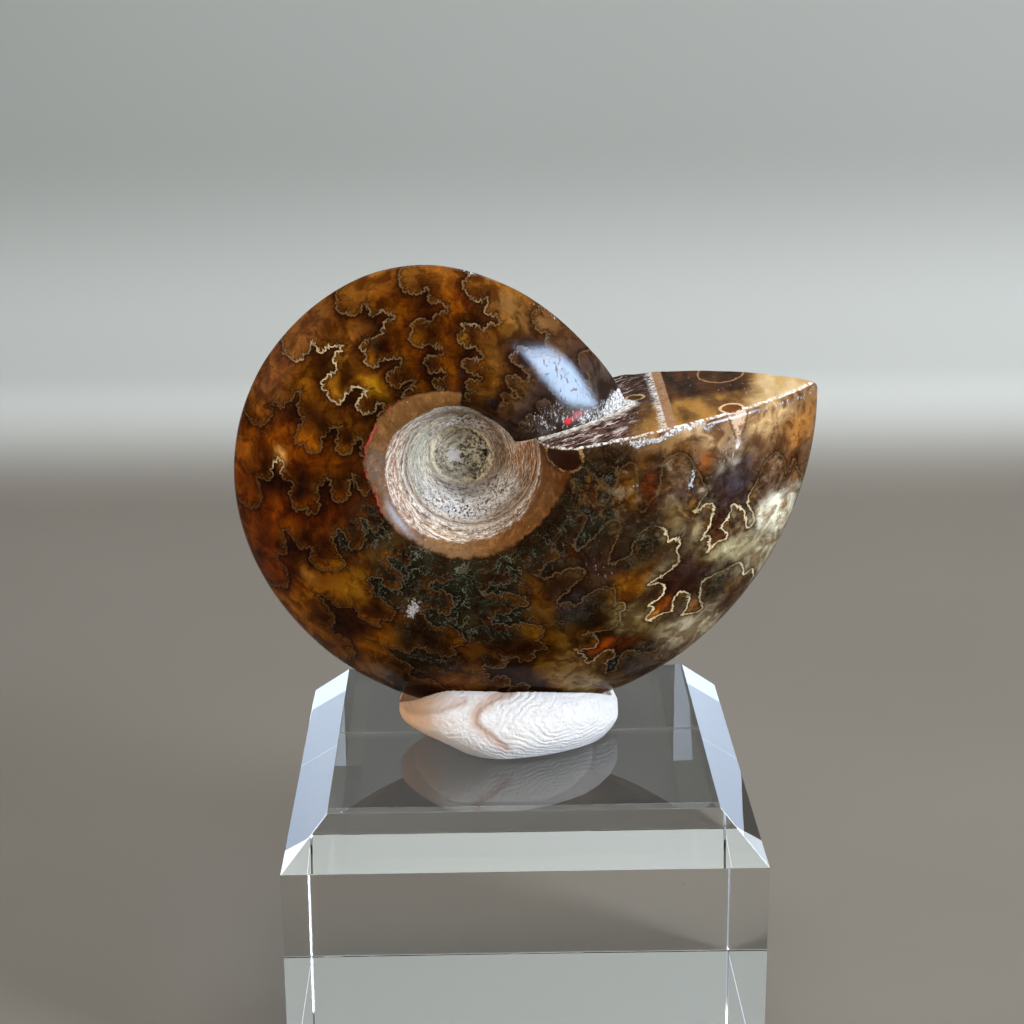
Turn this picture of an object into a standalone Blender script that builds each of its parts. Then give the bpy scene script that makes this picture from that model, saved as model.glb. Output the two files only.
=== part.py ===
"""A polished whole ammonite, held upright by a pressed lump of putty on a bevelled clear acrylic block.

Metres, +Z up. The origin is the middle of the block's underside, the front of the display faces -Y, and
the ammonite's coiling plane stands across it, parallel to XZ but for a slight lean towards the front.
"""

import math

import bmesh
import bpy
import numpy as np
from mathutils import Matrix, Vector

MM = 0.001
GAP = 0.3 * MM  # air left between pieces that touch

# Display block: a square slab of clear acrylic, its four top edges cut back at 45 degrees.
BLOCK_WIDTH = 40.0 * MM
BLOCK_HEIGHT = 25.0 * MM
BLOCK_BEVEL = 3.7 * MM

# Ammonite: a planispiral shell. Turn angles are in degrees and count back from the aperture, which is
# at 360. Each turn lies over the one before it, and the seam between them is a spiral of its own.
SPIRAL_CENTRE = Vector((-4.85 * MM, -1.4 * MM, BLOCK_HEIGHT + 26.95 * MM))
LEAN = math.radians(3.0)  # the top comes forward by this
VENTER = (  # turn angle, radius of the outer rim: a spiral, ground a little flat behind the aperture
    (0, 14.65), (30, 14.05), (60, 15.0), (90, 16.75), (130, 18.05), (170, 19.65),
    (210, 21.5), (250, 24.0), (300, 27.15), (330, 28.85), (360, 30.95),
)
SEAM_START = 3.95 * MM  # radius of the umbilical seam where the last turn begins
SEAM_GROWTH = 1.71  # how much wider the seam is one turn later
HALF_THICKNESS = 9.4 * MM  # at the aperture
THICKNESS_GROWTH = 2.15  # how much thicker the shell is one turn later
SHOULDER = 0.17  # share of the way from seam to rim where a whorl is thickest
WALL_CURVE = 0.6  # exponents of its section: up the umbilical wall
FLANK_CURVE = 0.83  # and over the flank to the narrow rim
INNER_TURNS = 1.5  # older whorls to show inside the umbilicus
CORE_HEIGHT = 0.45  # the seam's height on the oldest whorl, against that whorl's half thickness
CORE_OFFSET = 0.35  # the core's peak off the centre, against its radius
CUT_SLOPE = math.radians(8.6)  # the aperture is a flat cut, this steep, passing above the centre
CUT_ABOVE_CENTRE = 1.25 * MM
CUT_CROWN = 0.55 * MM  # polishing has left the face this much higher in its middle
CUT_EDGE_ROUND = 0.75 * MM

COLUMNS = 60  # mesh columns in one turn
EDGE_COLUMNS = (4.0, 1.6, 0.5)  # more of them close to the aperture, in degrees from it
WALL_RINGS = 5  # mesh rings over the umbilical wall
FLANK_RINGS = 9  # and from there to the rim
RINGS = WALL_RINGS + FLANK_RINGS
SEAM_CROWDING = 1.5  # exponent that draws the wall's rings in towards the seam
CUT_RINGS = 3  # across half of the aperture face

# Putty: a thumb-pressed lump between the ammonite's rim and the block.
PUTTY_CENTRE = Vector((-1.15 * MM, 0.4 * MM, BLOCK_HEIGHT + GAP))
PUTTY_HALF_LENGTH = 9.6 * MM
PUTTY_HALF_DEPTH = 7.7 * MM
PUTTY_HEIGHT = 6.3 * MM
PUTTY_WAIST = 0.28  # share of the height at which the lump is widest
PUTTY_CURVE = 2.4  # exponent of its side above that
PUTTY_FOOT = 0.94  # the underside's size against the widest level
PUTTY_TOP = 0.05  # and the flat left on top
PUTTY_SIDES = 56
PUTTY_LEVELS = 9


def clear_scene():
    for old in list(bpy.data.objects):
        bpy.data.objects.remove(old, do_unlink=True)


def material(name, colour, roughness, metallic=0.0, transmission=0.0, ior=1.5):
    made = bpy.data.materials.new(name)
    made.use_nodes = True
    shader = made.node_tree.nodes["Principled BSDF"]
    shader.inputs["Base Color"].default_value = (*colour, 1.0)
    shader.inputs["Roughness"].default_value = roughness
    shader.inputs["Metallic"].default_value = metallic
    shader.inputs["Transmission Weight"].default_value = transmission
    shader.inputs["IOR"].default_value = ior
    return made


def add_object(name, form, finish, smooth_below=None):
    mesh = bpy.data.meshes.new(name)
    form.to_mesh(mesh)
    form.free()
    mesh.materials.append(finish)
    if smooth_below is not None:
        mesh.shade_smooth()
        mesh.set_sharp_from_angle(angle=math.radians(smooth_below))
    made = bpy.data.objects.new(name, mesh)
    bpy.context.scene.collection.objects.link(made)
    return made


def smooth_through(points, at):
    """A curve through the points, with the slope at each one set by its two neighbours."""
    x, y = (np.array(values, float) for values in zip(*points))
    slope = np.gradient(y, x)
    k = np.clip(np.searchsorted(x, at, side="right") - 1, 0, len(x) - 2)
    width = x[k + 1] - x[k]
    t = (at - x[k]) / width
    rise = y[k] * (1 - t) ** 2 * (1 + 2 * t) + y[k + 1] * t**2 * (3 - 2 * t)
    return rise + width * t * (1 - t) * (slope[k] * (1 - t) - slope[k + 1] * t)


def venter_radius(turn):
    last = smooth_through(VENTER, np.maximum(turn, 0.0)) * MM
    return last * THICKNESS_GROWTH ** (np.minimum(turn, 0.0) / 360)


def seam_radius(turn):
    return SEAM_START * SEAM_GROWTH ** (turn / 360)


def whorl_height(turn, radius, older=2):
    """Half the shell's thickness at a radius, on the whorl that has this turn angle there."""
    seam = seam_radius(turn)
    half = HALF_THICKNESS * THICKNESS_GROWTH ** (turn / 360 - 1)
    share = np.clip((radius - seam) / (venter_radius(turn) - seam), 0.0, 1.0)
    below = whorl_height(turn - 360, seam, older - 1) if older else CORE_HEIGHT * half
    up_wall = np.clip(share / SHOULDER, 0.0, 1.0)
    over_flank = np.clip((share - SHOULDER) / (1 - SHOULDER), 0.0, 1.0)
    wall = below + (half - below) * (1 - (1 - up_wall) ** 2) ** WALL_CURVE
    flank = half * (1 - over_flank**2) ** FLANK_CURVE
    return wall if share < SHOULDER else flank


def polar_angle(turn, radius):
    """Direction from the spiral's centre. Columns of the last turn start and end along the cut."""
    outwards = np.clip((radius - SEAM_START) / (VENTER[-1][1] * MM - SEAM_START), 0.0, 1.0)
    above = CUT_ABOVE_CENTRE + CUT_CROWN * np.sin(np.pi * outwards)
    return np.radians(turn) + CUT_SLOPE + np.arcsin(above / np.maximum(radius, SEAM_START))


def rounded_off(depth, radius):
    """How far a surface drops at this depth inside an edge that is rounded to a radius."""
    inside = max(radius - depth, 0.0)
    return radius - math.sqrt(radius**2 - inside**2)


class ShellMesh:
    """Both sides of the shell as one closed mesh, on columns that follow the turn and rings across it.

    Inside the umbilicus only the umbilical wall of each older turn shows, so there the columns stop at
    the seam of the turn that covers it. That seam is shared, which makes the mesh one spiral strip.
    """

    def __init__(self, grow):
        self.grow = grow
        self.form = bmesh.new()
        self.known = {}
        spread = 360 * np.arange(COLUMNS) / COLUMNS
        self.marks = np.concatenate([spread, 360 - np.array(EDGE_COLUMNS)])
        self.per_turn = len(self.marks)
        self.first = -int(INNER_TURNS * self.per_turn)

    def turn_of(self, column):
        return 360 * (column // self.per_turn) + self.marks[column % self.per_turn]

    def radius_of(self, turn, ring):
        seam, next_seam = seam_radius(turn), seam_radius(turn + 360)
        if ring <= WALL_RINGS:
            return seam + (next_seam - seam) * (ring / WALL_RINGS) ** SEAM_CROWDING
        way = math.sin(math.pi / 2 * (ring - WALL_RINGS) / FLANK_RINGS)
        return next_seam + (venter_radius(turn) + self.grow - next_seam) * way

    def vertex(self, column, ring, side):
        """The vertex at a column and ring. side is 1 on the front of the shell and -1 on the back."""
        if ring == 0 and column - self.per_turn >= self.first:
            return self.vertex(column - self.per_turn, WALL_RINGS, side)
        if ring == RINGS:
            side = 1
        key = (column, ring, side)
        if key not in self.known:
            turn = self.turn_of(column)
            radius = self.radius_of(turn, ring)
            rim = venter_radius(turn)
            height = whorl_height(turn, min(radius, rim)) + self.grow
            if turn > 180:
                # Near the aperture the flank and the rim turn over into the cut face.
                depth = radius * math.sin(math.radians(min(360 - turn, 90)))
                drop = rounded_off(depth, CUT_EDGE_ROUND)
                older = whorl_height(turn - 360, min(radius, venter_radius(turn - 360)))
                lower = height - drop * height / (height + CUT_EDGE_ROUND)
                height = max(lower, min(older, height))
                radius -= drop * (radius / rim) ** 4
            height = 0.0 if ring == RINGS else side * height
            angle = polar_angle(turn, radius)
            place = Vector((radius * math.cos(angle), radius * math.sin(angle), height))
            self.known[key] = self.form.verts.new(place)
        return self.known[key]

    def face(self, corners):
        corners = list(dict.fromkeys(corners))
        if len(corners) > 2:
            self.form.faces.new(corners)

    def add_flank(self, side):
        for column in range(self.first, self.per_turn):
            for ring in range(RINGS if column >= 0 else WALL_RINGS):
                self.face([
                    self.vertex(column, ring, side),
                    self.vertex(column, ring + 1, side),
                    self.vertex(column + 1, ring + 1, side),
                    self.vertex(column + 1, ring, side),
                ])

    def add_core(self, side):
        """Closes the middle of the umbilicus with a fan, set off-centre so that it faces the step in it."""
        loop = [self.vertex(self.first + k, 0, side) for k in range(self.per_turn + 1)]
        loop += [self.vertex(self.first, ring, side) for ring in range(WALL_RINGS - 1, 0, -1)]
        flat = loop[0].co.xy.orthogonal() * -CORE_OFFSET
        height = sum(corner.co.z for corner in loop) / len(loop)
        core = self.form.verts.new((flat.x, flat.y, height))
        for corner, after in zip(loop, loop[1:] + loop[:1]):
            self.face([core, corner, after])

    def add_aperture_face(self):
        """Spans the cut from the last whorl's edge in to the older whorl and, past its rim, the middle."""
        old_rim, new_rim = self.vertex(0, RINGS, 1), self.vertex(self.per_turn, RINGS, 1)
        middle = [old_rim.co.lerp(new_rim.co, k / WALL_RINGS) for k in range(1, WALL_RINGS)]
        middle = [self.form.verts.new(place) for place in middle] + [new_rim]
        for side in (1, -1):
            older = [self.vertex(0, ring, side) for ring in range(WALL_RINGS, RINGS + 1)]
            rows = []
            for ring, inner in enumerate(older + middle):
                outer = self.vertex(self.per_turn, ring, side)
                row = [outer] * CUT_RINGS
                if outer != inner:
                    steps = [outer.co.lerp(inner.co, k / CUT_RINGS) for k in range(1, CUT_RINGS)]
                    row = [outer] + [self.form.verts.new(place) for place in steps]
                rows.append(row + [inner])
            for low, high in zip(rows, rows[1:]):
                for k in range(CUT_RINGS):
                    self.face([low[k], low[k + 1], high[k + 1], high[k]])


def ammonite_form(grow=0.0):
    """The shell, stood up over the block. Growing it by a distance gives a cutter that clears it."""
    shell = ShellMesh(grow)
    for side in (1, -1):
        shell.add_flank(side)
        shell.add_core(side)
    shell.add_aperture_face()
    form = shell.form
    bmesh.ops.recalc_face_normals(form, faces=form.faces)
    upright = Matrix.Rotation(math.pi / 2 + LEAN, 4, "X")
    form.transform(Matrix.Translation(SPIRAL_CENTRE) @ upright)
    bmesh.ops.triangulate(form, faces=form.faces)
    return form


def putty_form():
    """A rounded lump on a flat foot, its outline pushed in and out a little by the thumb."""
    form = bmesh.new()
    levels = []
    for level in range(PUTTY_LEVELS + 1):
        rise = math.sin(math.pi / 2 * level / PUTTY_LEVELS)
        if rise < PUTTY_WAIST:
            spread = PUTTY_FOOT + (1 - PUTTY_FOOT) * math.sin(math.pi / 2 * rise / PUTTY_WAIST)
        else:
            over = (rise - PUTTY_WAIST) / (1 - PUTTY_WAIST)
            spread = max(1 - over**PUTTY_CURVE, 0.0) ** 0.5
        ring = []
        for k in range(PUTTY_SIDES):
            angle = 2 * math.pi * k / PUTTY_SIDES
            pressed = 1 + 0.035 * math.sin(2 * angle + 0.6) + 0.025 * math.sin(3 * angle + 2.0)
            reach = pressed * max(spread, PUTTY_TOP)
            ring.append(form.verts.new(PUTTY_CENTRE + Vector((
                PUTTY_HALF_LENGTH * reach * math.cos(angle),
                PUTTY_HALF_DEPTH * reach * math.sin(angle),
                PUTTY_HEIGHT * rise,
            ))))
        levels.append(ring)
    form.faces.new(levels[0][::-1])
    form.faces.new(levels[-1])
    for low, high in zip(levels, levels[1:]):
        for k in range(PUTTY_SIDES):
            after = (k + 1) % PUTTY_SIDES
            form.faces.new([low[k], low[after], high[after], high[k]])
    bmesh.ops.recalc_face_normals(form, faces=form.faces)
    return form


def block_form():
    form = bmesh.new()
    bmesh.ops.create_cube(form, size=1.0)
    form.transform(Matrix.Translation((0, 0, BLOCK_HEIGHT / 2))
                   @ Matrix.Diagonal((BLOCK_WIDTH, BLOCK_WIDTH, BLOCK_HEIGHT, 1)))
    top_edges = [edge for edge in form.edges if min(v.co.z for v in edge.verts) > BLOCK_HEIGHT / 2]
    bmesh.ops.bevel(form, geom=top_edges, offset=BLOCK_BEVEL, affect="EDGES", segments=1,
                    clamp_overlap=True)
    return form


def build():
    clear_scene()
    fossil = material("polished_fossil", (0.30, 0.13, 0.035), 0.12)
    putty_white = material("white_putty", (0.80, 0.77, 0.73), 0.75)
    acrylic = material("clear_acrylic", (0.98, 0.99, 1.0), 0.02, transmission=1.0, ior=1.49)

    add_object("display_block", block_form(), acrylic)
    add_object("ammonite", ammonite_form(), fossil, smooth_below=40)

    putty = add_object("putty", putty_form(), putty_white, smooth_below=50)
    cutter = add_object("putty_groove", ammonite_form(grow=GAP), fossil)
    cutter.hide_render = True
    cutter.display_type = "WIRE"
    groove = putty.modifiers.new("groove", "BOOLEAN")
    groove.operation = "DIFFERENCE"
    groove.solver = "EXACT"
    groove.object = cutter


build()
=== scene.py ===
"""Looks for a polished ammonite held upright by putty on a clear acrylic block.

Metres, +Z up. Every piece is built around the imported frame: the shell's own spiral is worked out again here
at a finer step, with the leafy septum lines, the rough umbilicus and the cut aperture that the solid leaves
plain. Angles called turns are in degrees along the last whorl and reach 360 at the aperture.
"""

import math
from functools import partial

import bmesh
import bpy
import numpy as np
from mathutils import Matrix, Vector, kdtree, noise
from mathutils.bvhtree import BVHTree


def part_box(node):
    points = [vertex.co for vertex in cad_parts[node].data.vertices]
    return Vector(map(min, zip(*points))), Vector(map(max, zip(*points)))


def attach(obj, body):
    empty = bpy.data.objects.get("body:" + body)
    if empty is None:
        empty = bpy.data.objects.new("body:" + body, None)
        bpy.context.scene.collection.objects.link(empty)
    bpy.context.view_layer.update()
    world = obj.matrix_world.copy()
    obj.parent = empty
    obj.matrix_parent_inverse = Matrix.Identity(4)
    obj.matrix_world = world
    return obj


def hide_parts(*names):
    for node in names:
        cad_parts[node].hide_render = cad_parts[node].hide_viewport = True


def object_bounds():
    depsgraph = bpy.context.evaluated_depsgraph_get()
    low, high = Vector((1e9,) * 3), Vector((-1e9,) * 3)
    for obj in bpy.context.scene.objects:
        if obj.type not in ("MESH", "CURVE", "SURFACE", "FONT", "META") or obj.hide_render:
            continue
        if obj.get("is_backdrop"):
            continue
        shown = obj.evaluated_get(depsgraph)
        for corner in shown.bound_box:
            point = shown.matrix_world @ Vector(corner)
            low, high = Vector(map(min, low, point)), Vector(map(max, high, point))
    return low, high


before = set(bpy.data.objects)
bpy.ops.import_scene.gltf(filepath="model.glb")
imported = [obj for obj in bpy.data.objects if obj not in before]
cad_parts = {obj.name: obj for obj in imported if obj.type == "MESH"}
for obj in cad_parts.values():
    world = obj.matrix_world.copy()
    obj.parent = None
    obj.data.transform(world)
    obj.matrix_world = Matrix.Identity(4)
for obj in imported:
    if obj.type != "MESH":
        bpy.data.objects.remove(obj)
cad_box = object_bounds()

MM = 0.001

# ---------------------------------------------------------------- the shell's form, as the solid has it
LEAN = math.radians(3.0)
VENTER = (  # turn, radius of the rim in mm
    (0, 14.65), (30, 14.05), (60, 15.0), (90, 16.75), (130, 18.05), (170, 19.65),
    (210, 21.5), (250, 24.0), (300, 27.15), (330, 28.85), (360, 30.95),
)
SEAM_START = 3.95 * MM
SEAM_GROWTH = 1.71
HALF_THICKNESS = 9.4 * MM
THICKNESS_GROWTH = 2.15
SHOULDER = 0.17
WALL_CURVE = 0.6
FLANK_CURVE = 0.83
INNER_TURNS = 1.5
CORE_HEIGHT = 0.52
CORE_OFFSET = 0.35
CUT_SLOPE = math.radians(8.6)
CUT_ABOVE_CENTRE = 1.25 * MM
CUT_CROWN = 0.55 * MM
CUT_EDGE_ROUND = 0.75 * MM

# Its mesh here: columns along the whorl and rings across it.
WIDE_COLUMNS = 236
CLOSE_START = 280.0  # from here the columns are closer together, for the leaf-like lobes
CLOSE_COLUMNS = 196
EDGE_COLUMNS = 24  # and closer still over the last degrees before the aperture
EDGE_DEGREES = 4.0
INNER_STEP = 4  # inside the umbilicus only every fourth column is kept
WALL_RINGS = 18
FLANK_RINGS = 74
RINGS = WALL_RINGS + FLANK_RINGS
SEAM_CROWDING = 1.5
CUT_RINGS = 40


def linear(*rgb):
    """A colour given as 0-255 screen values, as the shader wants it."""
    share = np.array(rgb, float) / 255
    return np.where(share <= 0.04045, share / 12.92, ((share + 0.055) / 1.055) ** 2.4)


def smooth_through(points, at):
    """A curve through the points, with the slope at each one set by its two neighbours."""
    x, y = (np.array(values, float) for values in zip(*points))
    slope = np.gradient(y, x)
    k = np.clip(np.searchsorted(x, at, side="right") - 1, 0, len(x) - 2)
    width = x[k + 1] - x[k]
    t = (at - x[k]) / width
    rise = y[k] * (1 - t) ** 2 * (1 + 2 * t) + y[k + 1] * t**2 * (3 - 2 * t)
    return rise + width * t * (1 - t) * (slope[k] * (1 - t) - slope[k + 1] * t)


def smoothstep(low, high, value):
    t = np.clip((value - low) / (high - low), 0.0, 1.0)
    return t * t * (3 - 2 * t)


def venter_radius(turn):
    last = smooth_through(VENTER, np.clip(turn, 0.0, 360.0)) * MM
    return last * THICKNESS_GROWTH ** (np.minimum(turn, 0.0) / 360)


def seam_radius(turn):
    return SEAM_START * SEAM_GROWTH ** (turn / 360)


def whorl_height(turn, radius, older=2):
    """Half the shell's thickness at a radius, on the whorl that has this turn there."""
    seam = seam_radius(turn)
    half = HALF_THICKNESS * THICKNESS_GROWTH ** (turn / 360 - 1)
    share = np.clip((radius - seam) / (venter_radius(turn) - seam), 0.0, 1.0)
    below = whorl_height(turn - 360, seam, older - 1) if older else CORE_HEIGHT * half
    up_wall = np.clip(share / SHOULDER, 0.0, 1.0)
    over_flank = np.clip((share - SHOULDER) / (1 - SHOULDER), 0.0, 1.0)
    wall = below + (half - below) * (1 - (1 - up_wall) ** 2) ** WALL_CURVE
    flank = half * (1 - over_flank**2) ** FLANK_CURVE
    return np.where(share < SHOULDER, wall, flank)


def cut_angle(radius):
    """How far the cut line stands above the horizontal through the centre, at a radius."""
    reach = VENTER[-1][1] * MM - SEAM_START
    outwards = np.clip((radius - SEAM_START) / reach, 0.0, 1.0)
    above = CUT_ABOVE_CENTRE + CUT_CROWN * np.sin(np.pi * outwards)
    return CUT_SLOPE + np.arcsin(above / np.maximum(radius, SEAM_START))


def shell_points(turn, radius, height):
    """Points in the coiling plane's own frame: X and Y in the plane, Z out of the front."""
    angle = np.radians(turn) + cut_angle(radius)
    return np.stack([radius * np.cos(angle), radius * np.sin(angle), height], -1)


def flank_points(turn, share, side=1):
    """Points on the whorl's surface at a turn and a share of the way from seam to rim."""
    seam = seam_radius(turn)
    radius = seam + (venter_radius(turn) - seam) * share
    return shell_points(turn, radius, side * whorl_height(turn, radius))


def even_shares():
    """Shares of the way from the wall's top to the rim: even steps, closer where the sutures show best."""
    turn = 220.0
    low, high = seam_radius(turn + 360), venter_radius(turn)
    fine = np.linspace(0, 1, 2001)
    height = whorl_height(np.full_like(fine, turn), low + (high - low) * fine)
    steps = np.hypot(np.diff(fine) * (high - low), np.diff(height))
    steps *= 1 + 0.9 * np.exp(-(((fine[1:] - 0.62) / 0.2) ** 2))
    length = np.concatenate([[0], np.cumsum(steps)])
    return np.interp(np.linspace(0, length[-1], FLANK_RINGS + 1), length, fine)


class ShellMesh:
    """Both sides of the shell as one closed mesh: a spiral strip that shares its seams with itself."""

    def __init__(self):
        wide = np.linspace(0, CLOSE_START, WIDE_COLUMNS, endpoint=False)
        close = np.linspace(CLOSE_START, 360 - EDGE_DEGREES, CLOSE_COLUMNS, endpoint=False)
        edge = 360 - EDGE_DEGREES * (1 - np.arange(EDGE_COLUMNS) / EDGE_COLUMNS) ** 1.6
        self.marks = np.concatenate([wide, close, edge])
        self.per_turn = len(self.marks)
        self.first = -int(INNER_TURNS * self.per_turn) // INNER_STEP * INNER_STEP
        self.shares = even_shares()
        self.known, self.turns, self.radii, self.sides, self.faces = {}, [], [], [], []
        self.extra = {}  # vertices whose place is given: index -> point
        for side in (1, -1):
            self.add_flank(side)
            self.add_core(side)
        self.add_aperture_face()

    def turn_of(self, column):
        return 360 * (column // self.per_turn) + self.marks[column % self.per_turn]

    def radius_of(self, turn, ring):
        seam, next_seam = seam_radius(turn), seam_radius(turn + 360)
        if ring <= WALL_RINGS:
            return seam + (next_seam - seam) * (ring / WALL_RINGS) ** SEAM_CROWDING
        return next_seam + (venter_radius(turn) - next_seam) * self.shares[ring - WALL_RINGS]

    def add(self, turn, radius, side):
        self.turns.append(turn)
        self.radii.append(radius)
        self.sides.append(side)
        return len(self.turns) - 1

    def vertex(self, column, ring, side):
        """The vertex at a column and ring. side is 1 on the front of the shell and -1 on the back."""
        shared = column % INNER_STEP == 0 and column - self.per_turn >= self.first
        if ring == 0 and shared:
            return self.vertex(column - self.per_turn, WALL_RINGS, side)
        key = (column, ring, 0 if ring == RINGS else side)
        if key not in self.known:
            turn = self.turn_of(column)
            self.known[key] = self.add(turn, self.radius_of(turn, ring), key[2])
        return self.known[key]

    def face(self, corners):
        corners = list(dict.fromkeys(corners))
        if len(corners) > 2:
            self.faces.append(corners)

    def add_flank(self, side):
        for column in range(self.per_turn):
            for ring in range(RINGS):
                self.face([
                    self.vertex(column, ring, side),
                    self.vertex(column, ring + 1, side),
                    self.vertex(column + 1, ring + 1, side),
                    self.vertex(column + 1, ring, side),
                ])
        for column in range(self.first, 0, INNER_STEP):
            after = column + INNER_STEP
            for ring in range(WALL_RINGS):
                corners = [self.vertex(column, ring, side), self.vertex(column, ring + 1, side)]
                if ring + 1 == WALL_RINGS and column + self.per_turn >= 0:
                    for between in range(column + 1, after):
                        corners.append(self.vertex(between + self.per_turn, 0, side))
                corners += [self.vertex(after, ring + 1, side), self.vertex(after, ring, side)]
                self.face(corners)

    def add_core(self, side):
        steps = range(self.first, self.first + self.per_turn + 1, INNER_STEP)
        loop = [self.vertex(column, 0, side) for column in steps]
        loop += [self.vertex(self.first, ring, side) for ring in range(WALL_RINGS - 1, 0, -1)]
        core = self.add(self.turns[loop[0]], 0.0, side)
        self.extra[core] = ("core", loop)
        for corner, after in zip(loop, loop[1:] + loop[:1]):
            self.face([core, corner, after])

    def between(self, a, b, way):
        made = self.add(360.0, 0.0, 0)
        self.extra[made] = ("between", (a, b, way))
        return made

    def add_aperture_face(self):
        """Spans the cut from the last whorl's edge in to the older whorl and, past its rim, the middle."""
        old_rim, new_rim = self.vertex(0, RINGS, 1), self.vertex(self.per_turn, RINGS, 1)
        middle = [self.between(old_rim, new_rim, k / WALL_RINGS) for k in range(1, WALL_RINGS)]
        for side in (1, -1):
            older = [self.vertex(0, ring, side) for ring in range(WALL_RINGS, RINGS + 1)]
            rows = []
            for ring, inner in enumerate(older + middle + [new_rim]):
                outer = self.vertex(self.per_turn, ring, side)
                row = [outer] * CUT_RINGS
                if outer != inner:
                    steps = range(1, CUT_RINGS)
                    row = [outer] + [self.between(outer, inner, k / CUT_RINGS) for k in steps]
                rows.append(row + [inner])
            for low, high in zip(rows, rows[1:]):
                for k in range(CUT_RINGS):
                    self.face([low[k], low[k + 1], high[k + 1], high[k]])

    def places(self):
        turn, radius, side = (np.array(values, float) for values in (self.turns, self.radii, self.sides))
        rim = venter_radius(turn)
        height = whorl_height(turn, np.minimum(radius, rim))
        # Near the aperture the flank and the rim turn over into the cut face.
        depth = radius * np.sin(np.radians(np.clip(360 - turn, 0, 90)))
        inside = np.maximum(CUT_EDGE_ROUND - depth, 0.0)
        drop = CUT_EDGE_ROUND - np.sqrt(CUT_EDGE_ROUND**2 - inside**2)
        older = whorl_height(turn - 360, np.minimum(radius, venter_radius(turn - 360)))
        lower = height - drop * height / (height + CUT_EDGE_ROUND)
        near = turn > 180
        height = np.where(near, np.maximum(lower, np.minimum(older, height)), height)
        radius = np.where(near, radius - drop * (radius / rim) ** 4, radius)
        points = shell_points(turn, radius, side * height)
        for index, (kind, data) in self.extra.items():
            if kind == "core":
                loop = points[data]
                flat = np.array([loop[0][1], -loop[0][0]]) * CORE_OFFSET
                points[index] = [flat[0], flat[1], loop[:, 2].mean()]
            else:
                a, b, way = data
                points[index] = points[a] + (points[b] - points[a]) * way
        return points


def shell_mesh():
    """The fine shell as a mesh in the coiling plane's own frame, with what says where each vertex is."""
    shell = ShellMesh()
    mesh = bpy.data.meshes.new("ammonite_shell")
    mesh.from_pydata(shell.places().tolist(), [], shell.faces)
    form = bmesh.new()
    form.from_mesh(mesh)
    bmesh.ops.recalc_face_normals(form, faces=form.faces)
    form.to_mesh(mesh)
    form.free()
    mesh.shade_smooth()
    return shell, mesh


def numbers(collection, name, width=3):
    found = np.empty(len(collection) * width, np.float32)
    collection.foreach_get(name, found)
    return found.reshape(-1, width).astype(float)


def store(mesh, name, *columns, colour=False):
    """Keeps one number, three numbers or a colour for each vertex under a name that materials can read."""
    values = np.column_stack(columns)
    kind, field = ("FLOAT", "value") if values.shape[1] == 1 else ("FLOAT_VECTOR", "vector")
    if colour:
        kind, field = "FLOAT_COLOR", "color"
        values = np.column_stack([values, np.ones(len(values))])
    mesh.attributes.new(name, kind, "POINT").data.foreach_set(field, values.astype(np.float32).ravel())


def wander(points, size, octaves=3, seed=0.0):
    """Smooth noise from about -1 to 1 at each point, with lumps of this size in metres."""
    shift = Vector((seed, 2.7 * seed, -1.3 * seed))
    return np.array([
        noise.fractal(Vector(p) / size + shift, 1.0, 2.0, octaves, noise_basis="PERLIN_ORIGINAL")
        for p in points
    ])


def groove(distance, width):
    """1 along a line and fading away from it, for what is raised or sunk there."""
    return np.exp(-((distance / width) ** 2))


def folded(angle):
    """Degrees brought to within half a turn of zero."""
    return (angle + 180) % 360 - 180


def blend(colours, others, amount):
    """Each colour brought towards another one by an amount of its own."""
    return colours + (others - colours) * amount[:, None]


def painted(u, v, base, zones, around=False):
    """Soft patches laid over a base, one after another: centre, half-widths, value, strength if not full.
    If u goes around, it's in degrees."""
    base = np.atleast_1d(np.asarray(base, float))
    value = base if base.ndim == 2 else np.tile(base, (len(u), 1))
    for at_u, at_v, wide_u, wide_v, patch, *given in zones:
        strength = given[0] if given else 1.0
        apart = folded(u - at_u) if around else u - at_u
        reach = (apart / wide_u) ** 2 + ((v - at_v) / wide_v) ** 2
        patch = linear(*patch) if isinstance(patch, tuple) else patch
        value = blend(value, patch, strength * np.exp(-(reach**1.5)))
    return value


def amounts(u, v, base, zones, around=False):
    """The same for patches of a single number."""
    return painted(u, v, [base], zones, around)[:, 0]


# ---------------------------------------------------------------- materials
def rgba(colour):
    """A colour for a socket, from 0-255 screen values or from an array that is linear already."""
    return (*(linear(*colour) if isinstance(colour, tuple) else colour), 1.0)


class Signal:
    """What a shader node gives out. The signs of arithmetic add the nodes that work it out."""

    def __init__(self, look, socket):
        self.look, self.socket = look, socket

    def __add__(self, other):
        return self.look.math("ADD", self, other)

    def __sub__(self, other):
        return self.look.math("SUBTRACT", self, other)

    def __mul__(self, other):
        return self.look.math("MULTIPLY", self, other)

    def __truediv__(self, other):
        return self.look.math("DIVIDE", self, other)

    def __pow__(self, other):
        return self.look.math("POWER", self, other)

    def __abs__(self):
        return self.look.math("ABSOLUTE", self)


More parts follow.
